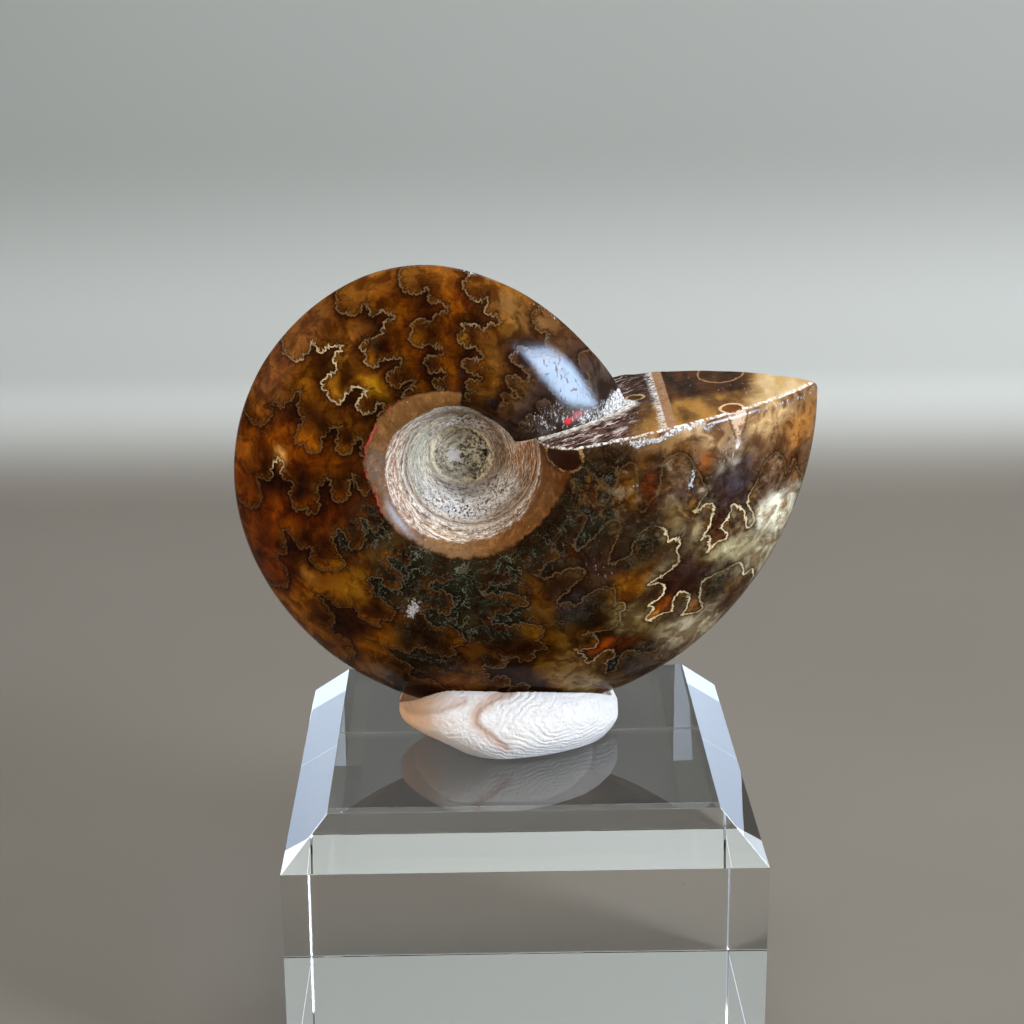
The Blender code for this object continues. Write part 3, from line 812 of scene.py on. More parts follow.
def nearest_on_line(points, line, arcs, nearest):
    """The distance from each point to a line of points, given the nearest of them, and how far along it."""
    best = np.linalg.norm(points - line[nearest], axis=1)
    arc = arcs[nearest].copy()
    for step in (-1, 1):
        beside = np.clip(nearest + step, 0, len(line) - 1)
        along = line[beside] - line[nearest]
        way = np.einsum("ij,ij->i", points - line[nearest], along)
        way = np.clip(way / np.maximum(np.einsum("ij,ij->i", along, along), 1e-12), 0, 1)
        off = np.linalg.norm(points - line[nearest] - way[:, None] * along, axis=1)
        closer = off < best
        arc[closer] = (arcs[nearest] + way * (arcs[beside] - arcs[nearest]))[closer]
        best = np.minimum(best, off)
    return best, arc


def suture_fields(turn, share):
    """For each place on the last whorl: mm to the nearest suture, positive on its younger side; the same
    with a sign that changes at every suture, so that it's smooth between them; what turns one sign into
    the other, which is the same on both sides of a suture and smaller where its frills are; and how far
    along it, as on a full-size whorl."""
    random = np.random.default_rng(11)
    lines = [suture_line(*suture, random) for suture in SUTURES]
    placed = [flank_points(t, np.clip(s, 0, 1)) / MM for t, s in lines]
    arcs = []
    for number, ((tip, reach, _), line) in enumerate(zip(SUTURES, placed)):
        size = float(venter_radius(tip + reach) - seam_radius(tip + reach)) / MM / FULL_WHORL
        steps = np.linalg.norm(np.diff(line, axis=0), axis=1) / size
        arcs.append(100 * number + np.concatenate([[0], np.cumsum(steps)]))
    every, arcs = np.concatenate(placed), np.concatenate(arcs)
    owner = np.concatenate([np.full(len(line[0]), number) for number, line in enumerate(lines)])
    tree = kdtree.KDTree(len(every))
    for index, point in enumerate(every):
        tree.insert(point, index)
    tree.balance()
    points = flank_points(turn, share) / MM
    nearest = np.array([tree.find(point)[1] for point in points])
    distance, arc = nearest_on_line(points, every, arcs, nearest)
    order = np.argsort(share)
    ordered = share[order]
    younger = np.zeros((len(lines), len(turn)), bool)
    for number, (line_turn, line_share) in enumerate(lines):
        for a, b, low, high in zip(line_turn, line_turn[1:], line_share, line_share[1:]):
            first, end = np.searchsorted(ordered, sorted((low, high)))
            if first < end:
                hit = order[first:end]
                younger[number, hit] ^= a + (b - a) * (share[hit] - low) / (high - low) < turn[hit]
    own = np.where(younger[owner[nearest], np.arange(len(turn))], 1.0, -1.0)
    alternate = np.where(younger.sum(0) % 2 == 1, 1.0, -1.0)
    frilled = np.interp(owner[nearest], (len(SUTURES) - 4, len(SUTURES) - 2), (1.0, LEAF_FRILLS))
    return own * distance, alternate * distance, own * alternate * frilled, arc


def colour_along(stops, turn):
    turns = [stop[0] for stop in stops]
    colours = np.array([linear(*stop[1]) for stop in stops])
    return np.column_stack([np.interp(turn, turns, colours[:, k]) for k in range(3)])


def gap_amount(turn, share):
    """1 midway between the saddles of one suture and the lobes of the next, and 0 over the walls."""
    amount = np.zeros(len(turn))
    bent = turn - 4 * smoothstep(0.78, 1.0, share) + 2 * smoothstep(0.5, 0.2, share)
    for (tip, reach, _), (after, _, _) in zip(SUTURES, SUTURES[1:]):
        centre = (tip + reach + after) / 2 + np.interp(after, (60, 150, 230), (2.5, -2.0, -1.0))
        wide = (after - tip - reach) / 2 + 4.2
        amount = np.maximum(amount, np.exp(-(np.abs((bent - centre) / wide) ** 2.5)))
    return amount


def flank_colour(at, apart, drift):
    """Colours of the polished flank. apart is mm to the nearest suture, positive on its younger side."""
    turn, share = at.turn + 3.5 * drift[:, 0], at.share + 0.03 * drift[:, 1]
    gap = np.clip(gap_amount(turn, share) * (0.75 + 0.5 * drift[:, 0]), 0, 1)
    colour = blend(colour_along(OVER_WALLS, turn), colour_along(IN_GAPS, turn), gap)
    # Dark clouds fill the walls, most of all away from the rim.
    cloudy = smoothstep(-0.35, 0.55, drift[:, 2]) * (1 - gap) * smoothstep(330, 290, at.turn)
    colour = colour * (1 - cloudy[:, None] * np.array([0.62, 0.78, 0.80]))
    front, back = (painted(turn, share, colour, patches) for patches in (FRONT_PATCHES, BACK_PATCHES))
    colour = np.where(at.side[:, None] < 0, back, front)
    # A thin bright rim lies just inside the saddles, and the lobes are darker.
    older, younger = apart < 0, apart > 0
    shows = amounts(turn, share, LINE_SHOWS, LINE_PATCHES)
    pale = smoothstep(280, 315, at.turn)
    rim = np.exp(-(((apart + 0.1) / 0.3) ** 2)) * older * np.clip(shows * 1.4 - 0.35, 0, 0.8)
    colour = blend(colour, blend(linear(150, 92, 20), linear(120, 92, 52), pale), 0.7 * rim)
    deep = np.exp(-((apart / 1.2) ** 2)) * younger * (1 - 0.7 * pale)
    colour = colour * (1 - deep[:, None] * np.array([0.46, 0.60, 0.60]))
    # Painted light and shade, patch by patch.
    colour = colour * painted(turn, share, [1.0], PAINTED_LIGHT_AND_SHADE)
    moss = amounts(turn, share, 0.0, MOSS_PATCHES)
    colour = blend(colour, linear(*MOSS), moss * np.where(younger, 0.97, 0.92 * smoothstep(0.2, 0.8, -apart)))
    leafy = younger & (at.turn > LEAF_START) & (apart < REACH)
    leaves = painted(turn, share, colour, LEAF_PATCHES)
    return blend(colour, leaves, leafy * smoothstep(3.9, 2.5, apart))


DRIFTS = ((3.2, 3.1), (3.2, 7.7), (1.7, 5.2))  # the size in mm and the seed of the noises that shift patches


def add_shell_markings(mesh, at):
    """Stores what the shell's material reads at each vertex. Gives how much of each is in the cut."""
    drift = np.column_stack([wander(at.points, size * MM, 3, seed) for size, seed in DRIFTS])
    shift, shift_across = drift[:, 0], drift[:, 1]
    flank = at.last & (at.share > 0.03)
    fields = np.tile((REACH, REACH, 0.0, 0.0), (len(at.turn), 1))
    fields[flank] = np.column_stack(suture_fields(at.turn[flank], at.share[flank]))
    apart, field = np.clip(fields[:, :2], -REACH, REACH).T
    younger_way, arc = fields[:, 2:].T
    store(mesh, "arc", arc)
    here, across = (flank_colour(at, way * apart, drift) for way in (1, -1))
    above = (field > 0)[:, None]
    store(mesh, "flank_above", np.where(above, here, across), colour=True)
    store(mesh, "flank_below", np.where(above, across, here), colour=True)
    store(mesh, "suture", field, younger_way, at.height / MM / FULL_WHORL)
    store(mesh, "band", painted(at.turn + 8 * shift, at.share, linear(*BAND), BAND_PATCHES), colour=True)
    around = at.direction + 9 * shift, at.radius / MM + 0.25 * shift_across
    core = 1 - smoothstep(*CORE_RADIUS, around[1])
    crust = painted(*around, linear(*CRUST_TONE_AND_LIGHT), CRUST_PATCHES, around=True)
    store(mesh, "crust", blend(crust, linear(*CORE_TONE_AND_LIGHT), core), colour=True)
    store(mesh, "contact", at.contact)
    pepper, grains = (amounts(*around, 0.0, zones, around=True) for zones in (PEPPER_PATCHES, GRAIN_PATCHES))
    store(mesh, "grains", pepper, grains, core)
    depth = at.radius * np.sin(np.radians(np.clip(360 - at.turn, 0, 90))) / MM
    cut = np.where(at.turn > 300, 1 - smoothstep(0.0, 0.35, depth), 0.0)
    cut[at.cut] = 1
    shows = amounts(at.turn, at.share, LINE_SHOWS, LINE_PATCHES) * (1 - cut)
    # Frost, and a painted highlight along the rim and the cut's front edge.
    frost = amounts(at.turn + 3 * shift, at.share + 0.02 * shift_across, 0.0, FROST_AND_HIGHLIGHT_PATCHES)
    store(mesh, "marks", shows * at.last, frost * at.last, cut)
    moss = amounts(at.turn + 3.5 * shift, at.share + 0.03 * shift_across, 0.0, MOSS_PATCHES)
    store(mesh, "edges", at.in_band, at.off_crust, moss * at.last)
    store(mesh, "spiral", at.turn / 360, at.share, at.radius / MM)
    store(mesh, "spot", at.radius / MM, at.points[:, 2] / MM, at.past_seam)
    return cut


# The cut aperture, seen end on: each place is a radius from the spiral's centre and a height above the
# coiling plane, in mm. A chamber wall crosses it, and a tube and two lobes show with their half-widths.
WALL_AT = (17.35, 17.9, 18.2)  # the radius where it starts, is highest and ends
SIPHUNCLE = (15.5, -1.45, 0.78)
LOBE_RING = (23.0, 5.3, 0.95, 1.25)
LOBE_BACK = (23.3, -5.2, 2.0, 2.7)
# On the side, beside the cut: the lobe's cone as its tip's turn, its length, its share and its half-width,
# and the pocket where the band ends as its turn, its share and its half-widths.
CONE = (351.8, 8.2, 0.69, 0.040)
POCKET = (355.0, 0.085, 8.5, 0.06)


def shell_relief(at, cut):
    """How far each vertex stands out from the smooth form: crust, seam ridges, the band's step."""
    crust = 1 - smoothstep(-0.15, 0.05, at.off_crust)
    coarse, fine = wander(at.points, 1.5 * MM, 3, 1.3), wander(at.points, 0.5 * MM, 2, 5.9)
    rise = crust * (0.07 * coarse + 0.035 * fine)
    # A double ridge follows each seam.
    ridge = groove(at.past_seam + 0.42, 0.15) + 0.8 * groove(at.past_seam + 0.02, 0.13)
    rise += 0.10 * ridge * crust * (1 + 0.5 * coarse)
    band = smoothstep(-0.1, 0.15, at.in_band) * (1 - crust)
    rise += 0.07 * band + 0.03 * band * wander(at.points, 2.5 * MM, 2, 8.2)
    flank = (1 - crust) * (1 - band) * (1 - cut)
    rise += flank * 0.022 * wander(at.points, 3.5 * MM, 2, 4.4)
    # The cut: a low ridge where the chamber wall crosses, rings round the tubes, rough beside the old whorl.
    radius, height = at.radius / MM, at.points[:, 2] / MM
    wall_ridge = smoothstep(*WALL_AT[:2], radius) * (1 - smoothstep(*WALL_AT[1:], radius))
    tube = np.hypot(radius - SIPHUNCLE[0], height - SIPHUNCLE[1]) - SIPHUNCLE[2]
    lobe = np.hypot((radius - LOBE_RING[0]) / LOBE_RING[2], (height - LOBE_RING[1]) / LOBE_RING[3]) - 1
    rough = 1 - smoothstep(15.0, 16.5, radius)
    cut_rise = 0.07 * wall_ridge + 0.09 * groove(tube, 0.16) + 0.08 * groove(lobe, 0.2)
    cut_rise -= 0.12 * smoothstep(0.0, -0.4, tube) + 0.14 * smoothstep(0.0, -0.5, lobe)
    cut_rise += (0.015 + 0.12 * rough) * fine + 0.03 * coarse
    return (rise * (1 - cut) + cut * cut_rise) * MM


FRILLS = ((0.86, 0.30, 0.0), (0.36, 0.13, 40.0))  # mm from cusp to cusp, how deep, which of the noises
FRILL_STEP = 0.02  # mm along the suture over which its frills' slope is taken
TUBES = (  # on the cut: ellipse, half the rim's thickness, inside, rim
    ((*SIPHUNCLE, SIPHUNCLE[2]), 0.10, linear(62, 44, 20), (176, 150, 112)),
    (LOBE_BACK, 0.03, None, (146, 112, 76)),
    (LOBE_RING, 0.08, linear(96, 54, 20), (220, 186, 144)),
)
CRUST_RIDGES = (  # mm past the last seam, half-width, colour
    (-0.42, 0.045, (246, 204, 148)), (-0.28, 0.03, (96, 66, 44)), (-0.16, 0.05, (186, 184, 196)),
    (0.04, 0.03, (240, 226, 204)), (0.14, 0.025, (92, 70, 54)),
)


def scallops(look, arc):
    """How far a suture's edge stands out towards the mouth: round bumps between cusps, uneven in width."""
    total = None
    for pitch, depth, other in FRILLS:
        drift = look.noise_along(arc + other, 0.75 / pitch)
        bump = abs(look.math("SINE", (arc * (1 / pitch) + drift * 1.5) * math.pi)) ** 0.8 - 0.6
        bump = bump * (look.noise_along(arc + (other + 20), 0.6 / pitch) * (2.4 * depth) - 0.2 * depth)
        total = bump if total is None else total + bump
    return total


class ShellLook(Surface):
    """The fossil's material, and what its mesh says of each place."""

    def __init__(self):
        super().__init__("polished_fossil")
        self.line_shows, self.frost, self.cut = self.parts(self.attribute("marks", "Vector"))
        self.in_band, self.off_crust, self.moss = self.parts(self.attribute("edges", "Vector"))
        self.pepper, self.grains, self.core = self.parts(self.attribute("grains", "Vector"))
        self.spiral, self.spot = self.attribute("spiral", "Vector"), self.attribute("spot", "Vector")
        self.turn_share, self.flank_share, _ = self.parts(self.spiral)
        self.radius, self.height, self.past_seam = self.parts(self.spot)
        self.contact = self.attribute("contact")
        self.crinkle = self.noise(3.2, 3, 0.65) - 0.5
        self.across_spiral = self.noise(1.0, 3, 0.6, at=self.spiral, stretch=(170.0, 6.0, 0.2))
        self.find_sutures()

    def find_sutures(self):
        """Distances to the nearest suture in mm, with frills that are round towards the mouth and pointed
        away from it: edge changes its sign at every suture, and beyond is positive on the younger side."""
        field, younger_way, size = self.parts(self.attribute("suture", "Vector"))
        arc = self.attribute("arc")
        frill = scallops(self, arc)
        slope = (scallops(self, arc + FRILL_STEP) - frill) / FRILL_STEP
        edge = field - frill * size * younger_way + self.crinkle * 0.16
        self.edge = edge / self.math("SQRT", slope * slope + 1.0)
        self.beyond = self.edge * younger_way


def calcite(look):
    """Amber and dark calcite on either side of the sutures, broken into lumps towards the mouth."""
    mix, ease, noise = look.mix, look.ease, look.noise
    below, above = look.attribute("flank_below", "Color"), look.attribute("flank_above", "Color")
    flank = mix(ease(look.edge, -0.03, 0.03), below, above)
    cloud = ease(noise(0.6, 4, 0.62, 0.6), 0.38, 0.60)
    flank = mix(1.0, flank, mix(cloud, (164, 144, 128), (255, 255, 250)), "MULTIPLY")
    glow = ease(noise(0.9, 4, 0.66, 0.6), 0.48, 0.74)
    flank = mix(glow * 0.65, flank, mix(1.0, flank, flank, "ADD"))
    in_leaf = ease(look.beyond, 0.0, 0.1) * ease(look.beyond, 0.5, 1.0, 1.0, 0.0)
    near_mouth = ease(look.turn_share, 0.86, 0.95) * (in_leaf * -0.9 + 1.0)
    creamy = ease(noise(0.8, 5, 0.68, 0.3), 0.48, 0.66, 0.0, 0.36) * near_mouth
    flank = mix(creamy, flank, mix(ease(noise(0.5, 2, 0.5), 0.4, 0.6), (196, 134, 52), (196, 176, 140)))
    darker = ease(noise(0.9, 5, 0.68, 0.3, at=look.warped(0.9, 2, 0.6)), 0.50, 0.36, 0.0, 0.5)
    flank = mix(darker * near_mouth, flank, (44, 24, 18))
    flank = mix(ease(noise(7.0, 3, 0.7), 0.35, 0.75, 0.0, 0.16), flank, mix(0.5, flank, (120, 84, 40)))
    flank = mix(look.specks(1.6, 0.13, 0.22) * 0.8, flank, (14, 8, 6))
    return mix(look.specks(2.3, 0.09, 0.06) * 0.75, flank, (176, 160, 120))


def mossy(look, flank, in_moss):
    """Moss has grey-green crystals and branching outlines over its dark colour."""
    mix, ease, noise = look.mix, look.ease, look.noise
    branching = abs(noise(0.9, 4, 0.62, 0.3) - 0.5)
    branches = ease(branching, 0.004, 0.018, 0.85, 0.0) * ease(noise(1.1, 2, 0.5), 0.36, 0.52)
    flank = mix(branches * in_moss, flank, (116, 120, 104))
    frosty = ease(noise(4.5, 4, 0.75), 0.52, 0.66) * ease(noise(0.7, 2, 0.5), 0.4, 0.62)
    return mix(frosty * 0.8 * in_moss, flank, (82, 88, 72))


def sutured(look, flank, in_moss):
    """The sutures are cream lines with dark sides. Gives the flank, and how much of each place is line."""
    mix, ease, noise = look.mix, look.ease, look.noise
    broken = ease(noise(1.3, 3, 0.6), 0.30, 0.56, 0.25, 1.0)
    width = noise(3.0, 2, 0.5) * 0.05
    line = ease(abs(look.edge), width, width + 0.055, 1.0, 0.0)
    line = look.math("MULTIPLY", line, look.line_shows * broken, clamp=True)
    shadow = ease(abs(look.edge), 0.06, 0.36, 0.7, 0.0) * ease(look.line_shows, 0.1, 0.5)
    flank = mix(shadow, flank, (16, 6, 3))
    faint = mix(noise(1.7, 2, 0.5), (150, 112, 66), (122, 96, 64))
    cream = mix(ease(look.line_shows, 0.5, 0.85), faint, (244, 220, 172))
    cream = mix(in_moss * 0.8, cream, (104, 106, 90))
    return mix(line, flank, cream), line


def frosty_flank(look, flank):
    """White crystalline calcite in streaks, and a painted highlight along the rim and the cut's front edge.
    Gives the flank, and how much white each place takes.
    """
    mix, ease, noise = look.mix, look.ease, look.noise
    streaky = noise(1.0, 4, 0.72, stretch=(5.0, 2.0, 2.2))
    frosted = ease(look.frost + streaky * 2.2 - 1.62, 0.0, 0.3)
    tone = mix(ease(noise(5.0, 3, 0.8), 0.38, 0.62), (112, 106, 104), (240, 240, 238))
    return mix(frosted, flank, tone), frosted


def waxy_band(look):
    """The band is smooth, with streaks across the spiral."""
    mix, ease, noise = look.mix, look.ease, look.noise
    band = mix(ease(look.across_spiral, 0.35, 0.7, 0.0, 0.25), look.attribute("band", "Color"), (84, 54, 28))
    band = mix(ease(noise(1.1, 4, 0.7), 0.46, 0.70, 0.0, 0.55), band, (172, 122, 72))
    band = mix(ease(noise(1.6, 4, 0.7, 0.5), 0.50, 0.36, 0.0, 0.55), band, (84, 48, 20))
    return mix(look.specks(1.5, 0.10, 0.2) * 0.7, band, (226, 196, 160))


def chalky_crust(look):
    """Grey with black and white grains, ridges along each seam, crystals farther out."""
    mix, ease, noise = look.mix, look.ease, look.noise
    layer = noise(1.0, 4, 0.7, at=look.spiral, stretch=(16.0, 60.0, 1.6))
    thread = noise(1.0, 3, 0.7, at=look.spiral, stretch=(36.0, 150.0, 4.5))
    crust = look.attribute("crust", "Color")
    crust = mix(ease(noise(2.2, 5, 0.8), 0.45, 0.58, 0.0, 0.55), crust, mix(0.7, crust, (50, 42, 30)))
    crust = mix(ease(layer, 0.46, 0.58, 0.0, 0.5), crust, (146, 102, 60))
    crust = mix(ease(thread, 0.53, 0.58, 0.0, 0.8), crust, (250, 242, 226))
    crust = mix(ease(thread, 0.44, 0.39, 0.0, 0.7), crust, (84, 60, 40))
    crust = mix(look.pepper * ease(noise(3.8, 3, 0.7), 0.47, 0.53, 0.0, 0.9), crust, (250, 252, 254))
    crust = mix(look.pepper * ease(noise(4.4, 2, 0.6), 0.45, 0.40), crust, (12, 11, 14))
    sparkle = look.grains * ease(look.cells(3.4)[0], 0.42, 0.26, 0.0, 0.95)
    crust = mix(sparkle, crust, mix(noise(2.0, 2, 0.5), (220, 172, 140), (255, 248, 244)))
    uneven = noise(1.6, 4, 0.7) * 0.44 - 0.22
    shows = ease(noise(1.4, 4, 0.75), 0.36, 0.56, 0.1, 0.9) * ease(look.radius, 4.3, 4.9, 0.35, 1.0)
    for past, half, tone in CRUST_RIDGES:
        off = abs(look.past_seam - past + uneven)
        crust = mix(ease(off, half * 0.6, half * 2.2, 1.0, 0.0) * shows, crust, tone)
    streaks = noise(1.0, 4, 0.75, at=look.spiral, stretch=(44.0, 110.0, 6.0))
    streaky = look.pepper * -0.5 + 0.6
    crust = mix(ease(streaks, 0.46, 0.40) * streaky, crust, (88, 70, 58))
    crust = mix(ease(streaks, 0.56, 0.62) * streaky, crust, (252, 246, 238))
    return cored(look, crust, uneven)


def cored(look, crust, uneven):
    """The core has a ragged white middle, and a cream rim with a dark crevice round it."""
    mix, ease, noise = look.mix, look.ease, look.noise
    core = mix(ease(noise(2.6, 4, 0.8), 0.42, 0.54), (96, 92, 70), (244, 238, 214))
    core = mix(ease(noise(1.5, 3, 0.7), 0.44, 0.39, 0.0, 0.9), core, (18, 16, 12))
    core = mix(ease(noise(1.9, 3, 0.6), 0.36, 0.30, 0.0, 0.7), core, (150, 74, 58))
    ragged = look.contact + noise(1.4, 4, 0.7) * 3.0 - 1.5
    white = ease(ragged, 0.60, 0.75, 1.0, 0.0) * ease(noise(3.6, 3, 0.8), 0.36, 0.48)
    crust = mix(look.core * 0.95, crust, mix(white, core, (255, 255, 255)))
    out = look.radius + uneven * 3.0
    rim = ease(abs(out - 2.55), 0.05, 0.22, 0.95, 0.0) * ease(noise(1.6, 4, 0.75), 0.43, 0.54, 0.15, 1.0)
    crust = mix(rim, crust, (248, 236, 204))
    crevice = ease(abs(out - 2.22), 0.03, 0.13, 0.85, 0.0) * ease(noise(1.4, 4, 0.75), 0.47, 0.56)
    return mix(crevice, crust, (20, 17, 12))


def side_by_side(look, flank, band, crust):
    """The whole side. Gives how much of each place is band, and how much is crust, too."""
    mix, ease, noise = look.mix, look.ease, look.noise
    wobble = noise(1.6, 4, 0.65) * 0.6 - 0.3
    inside = look.in_band + wobble
    on_band = ease(inside, -0.12, 0.12)
    lip = ease(abs(inside), 0.0, 0.2, 0.6, 0.0) * ease(noise(0.9, 2, 0.5), 0.4, 0.6)
    side = mix(lip, mix(on_band, flank, band), (44, 26, 14))
    pink = ease(look.turn_share, 0.26, 0.36) * ease(look.turn_share, 0.48, 0.54, 1.0, 0.0)
    pink = pink * ease(abs(inside), 0.02, 0.14, 0.8, 0.0) * ease(noise(0.7, 3, 0.6), 0.42, 0.6)
    side = mix(pink, side, (208, 82, 84))
    on_crust = ease(look.off_crust + wobble, -0.10, 0.10, 1.0, 0.0)
    return mix(on_crust, side, crust), on_band, on_crust


def pocketed(look, side):
    """Where the band ends at the cut it sinks into a dark glossy pocket with a pale lip."""
    mix, ease, noise = look.mix, look.ease, look.noise
    out = look.out_of(look.spiral, (360.0, 1.0), POCKET) + look.crinkle * 0.5
    dark = mix(look.across_spiral, (18, 8, 3), (60, 30, 14))
    side = mix(ease(out, 0.88, 0.98, 0.95, 0.0), side, dark)
    lip = ease(abs(out - 1.0), 0.02, 0.10, 0.8, 0.0) * ease(noise(1.2, 3, 0.7), 0.38, 0.56)
    return mix(lip, side, (196, 156, 106))


def coned(look, side):
    """The lobe that the cut crosses shows on the flank as a pale cone with a dark outline."""
    mix, ease, noise = look.mix, look.ease, look.noise
    tip, length, share, half_width = CONE
    way = look.turn_share * (360 / length) - tip / length
    half = (way + look.crinkle * 0.9) * half_width + 0.004
    inside = half - abs(look.flank_share - share)
    tone = mix(ease(inside, 0.003, 0.014), (92, 60, 36), (224, 190, 156))
    tone = mix(ease(noise(1.6, 3, 0.7), 0.50, 0.60, 0.0, 0.8), tone, (120, 84, 56))
    tone = mix(ease(way, 0.35, 0.0), tone, (244, 238, 230))
    return mix(ease(inside, -0.002, 0.004) * ease(way, -0.05, 0.05), side, tone)


def bark(look, radius):
    """Fibrous streaks run across the cut beside the older whorl, slanting to the back."""
    mix, ease = look.mix, look.ease
    slant = look.vector("DOT_PRODUCT", look.spot, (0.45, 0.89, 0.0)) * 2.6
    across = look.vector("DOT_PRODUCT", look.spot, (0.89, -0.45, 0.0)) * 0.5
    fibres = look.noise(1.0, 3, 0.7, at=look.node("CombineXYZ", 0, (("X", slant), ("Y", across))))
    tone = mix(ease(fibres, 0.40, 0.52), (34, 20, 18), (98, 72, 62))
    tone = mix(ease(fibres, 0.54, 0.60, 0.0, 0.75), tone, (216, 206, 200))
    return mix(ease(radius, 13.6, 15.6, 0.0, 0.7), tone, (46, 30, 24))


def walled(look, face, radius):
    """The chamber wall crosses the cut, with frost on its inner side."""
    mix, ease, noise = look.mix, look.ease, look.noise
    start, _, end = WALL_AT
    wall = ease(look.radius, start - 0.12, start) * ease(look.radius, end, end + 0.12, 1.0, 0.0)
    tone = mix(noise(2.4, 4, 0.7), (122, 84, 54), (176, 138, 104))
    face = mix(wall * ease(noise(2.2, 3, 0.6), 0.30, 0.55, 0.5, 0.95), face, tone)
    beside = ease(radius, start - 0.7, start - 0.1) * ease(look.radius, start, start + 0.2, 1.0, 0.0)
    return mix(beside * ease(noise(3.4, 4, 0.75), 0.42, 0.56), face, (214, 208, 202))


def cut_face(look):
    """The cut from the older whorl out to the rim. Gives where it's rough, too."""
    mix, ease, noise = look.mix, look.ease, look.noise
    warp = noise(1.1, 4, 0.6) * 1.6 - 0.8
    radius, height = look.radius + warp * 0.7, look.height + warp
    # Its marks are long across the face, so that they look even at a low angle.
    cloud = ease(noise(0.6, 4, 0.55, at=look.spot, stretch=(1.0, 0.32, 0.0)), 0.35, 0.65)
    dark_back = ease(height, -0.6, 2.4, 1.0, 0.0) * ease(radius, 25.0, 26.2, 1.0, 0.0) * 0.95
    pale_rim = ease(radius + look.height * 0.25, 24.5, 27.0) * 0.85
    inner = ease(radius, 14.6, 17.4, 1.0, 0.0) * 0.7
    face = mix(cloud, (88, 54, 14), (164, 118, 52))
    face = mix(dark_back, face, mix(cloud, (24, 10, 4), (66, 34, 13)))
    face = mix(pale_rim, face, mix(cloud, (196, 160, 100), (222, 198, 156)))
    face = mix(ease(radius, 29.0, 30.6, 0.0, 0.8), face, (172, 104, 46))
    face = mix(inner, face, mix(cloud, (48, 28, 14), (98, 66, 36)))
    in_bark = ease(radius + look.height * 0.2, 15.2, 17.0, 1.0, 0.0)
    face = walled(look, mix(in_bark, face, bark(look, radius)), radius)
    grainy = noise(4.0, 4, 0.75)
    for ellipse, thick, inside, rim in TUBES:
        out = look.out_of(look.spot, (1.0, 1.0), ellipse) - 1.0 + warp * 0.14
        if inside is not None:
            face = mix(ease(out, -0.1, 0.0, 1.0, 0.0), face, mix(grainy, inside, inside * 1.7))
        face = mix(ease(abs(out), thick, thick * 1.8, 0.9, 0.0), face, rim)
    face = mix(look.specks(2.8, 0.17, 0.18) * 0.8, face, (232, 226, 212))
    face = mix(ease(grainy, 0.62, 0.74, 0.0, 0.25), face, (40, 24, 14))
    # Frost gathers against the older whorl, and along the front edge, where the white is partly frost and
    # partly a painted highlight on the rounded edge.
    frost = ease(look.cut, 0.02, 0.5) * ease(look.cut, 0.999, 0.93) * ease(noise(1.6, 4, 0.8), 0.42, 0.54)
    contact = look.contact + noise(1.6, 4, 0.8) * 2.6 - 1.3
    frost = look.math("MAXIMUM", frost, ease(contact, 0.5, 1.3, 0.95, 0.0))
    tone = mix(ease(noise(3.2, 3, 0.8), 0.36, 0.56), (130, 122, 120), (246, 242, 232))
    return mix(frost, face, tone), look.math("MAXIMUM", in_bark, frost)


def shell_material():
    look = ShellLook()
    mix, ease, noise, most = look.mix, look.ease, look.noise, partial(look.math, "MAXIMUM")
    in_moss = look.moss * ease(look.beyond, -0.02, 0.02, 0.35, 1.0)
    flank, line = sutured(look, mossy(look, calcite(look), in_moss), in_moss)
    flank, frosted = frosty_flank(look, flank)
    side, on_band, on_crust = side_by_side(look, flank, waxy_band(look), chalky_crust(look))
    face, cut_rough = cut_face(look)
    side = coned(look, pocketed(look, side))
    look.set(base_color=mix(ease(look.cut + look.crinkle * 0.5, 0.3, 0.7), side, face))
    on_cut = ease(look.cut, 0.3, 0.8)
    rough = most(most(on_crust, on_cut * most(cut_rough, 0.35)), frosted * 0.7)
    gloss = look.between(on_band * 0.85, noise(1.8, 4, 0.7) * 0.14 + 0.015, 0.42)
    look.set(roughness=most(gloss, rough * 0.8), specular_ior_level=look.between(on_cut, 0.06, 0.02))
    polish = noise(9.0, 2, 0.6) * 0.5 + line * 0.5
    pits = noise(5.0, 5, 0.8) + look.cells(4.5)[0] * 0.8
    relief = look.between(rough, polish, pits * 6.0)
    look.set(normal=look.bump(relief, 0.02 * MM, look.between(rough, 0.55, 0.7)))
    return look.material


def settle(mesh, low, high):
    """Brings a mesh that is nearly the right size into a box, its proportions kept."""
    points = numbers(mesh.vertices, "co")
    lowest, highest = points.min(0), points.max(0)
    low, high = np.array(low), np.array(high)
    scale = ((high - low) / (highest - lowest)).min()
    points = (points - (lowest + highest) / 2) * scale + (low + high) / 2
    mesh.vertices.foreach_set("co", points.astype(np.float32).ravel())
    mesh.update()
    return scale


def add_piece(name, mesh, material):
    piece = bpy.data.objects.new(name, mesh)
    bpy.context.scene.collection.objects.link(piece)
    mesh.materials.append(material)
    return piece


def add_ammonite():
    shell, mesh = shell_mesh()
    points = numbers(mesh.vertices, "co")
    at = ShellPlaces(shell, points)
    cut = add_shell_markings(mesh, at)
    points += numbers(mesh.vertex_normals, "vector") * shell_relief(at, cut)[:, None]
    mesh.vertices.foreach_set("co", points.astype(np.float32).ravel())
    mesh.transform(Matrix.Rotation(math.pi / 2 + LEAN, 4, "X"))
    scale = settle(mesh, *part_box("ammonite"))
    print("ammonite:", len(mesh.vertices), "vertices, scale", round(scale, 4))
    return add_piece("ammonite_shell", mesh, shell_material())


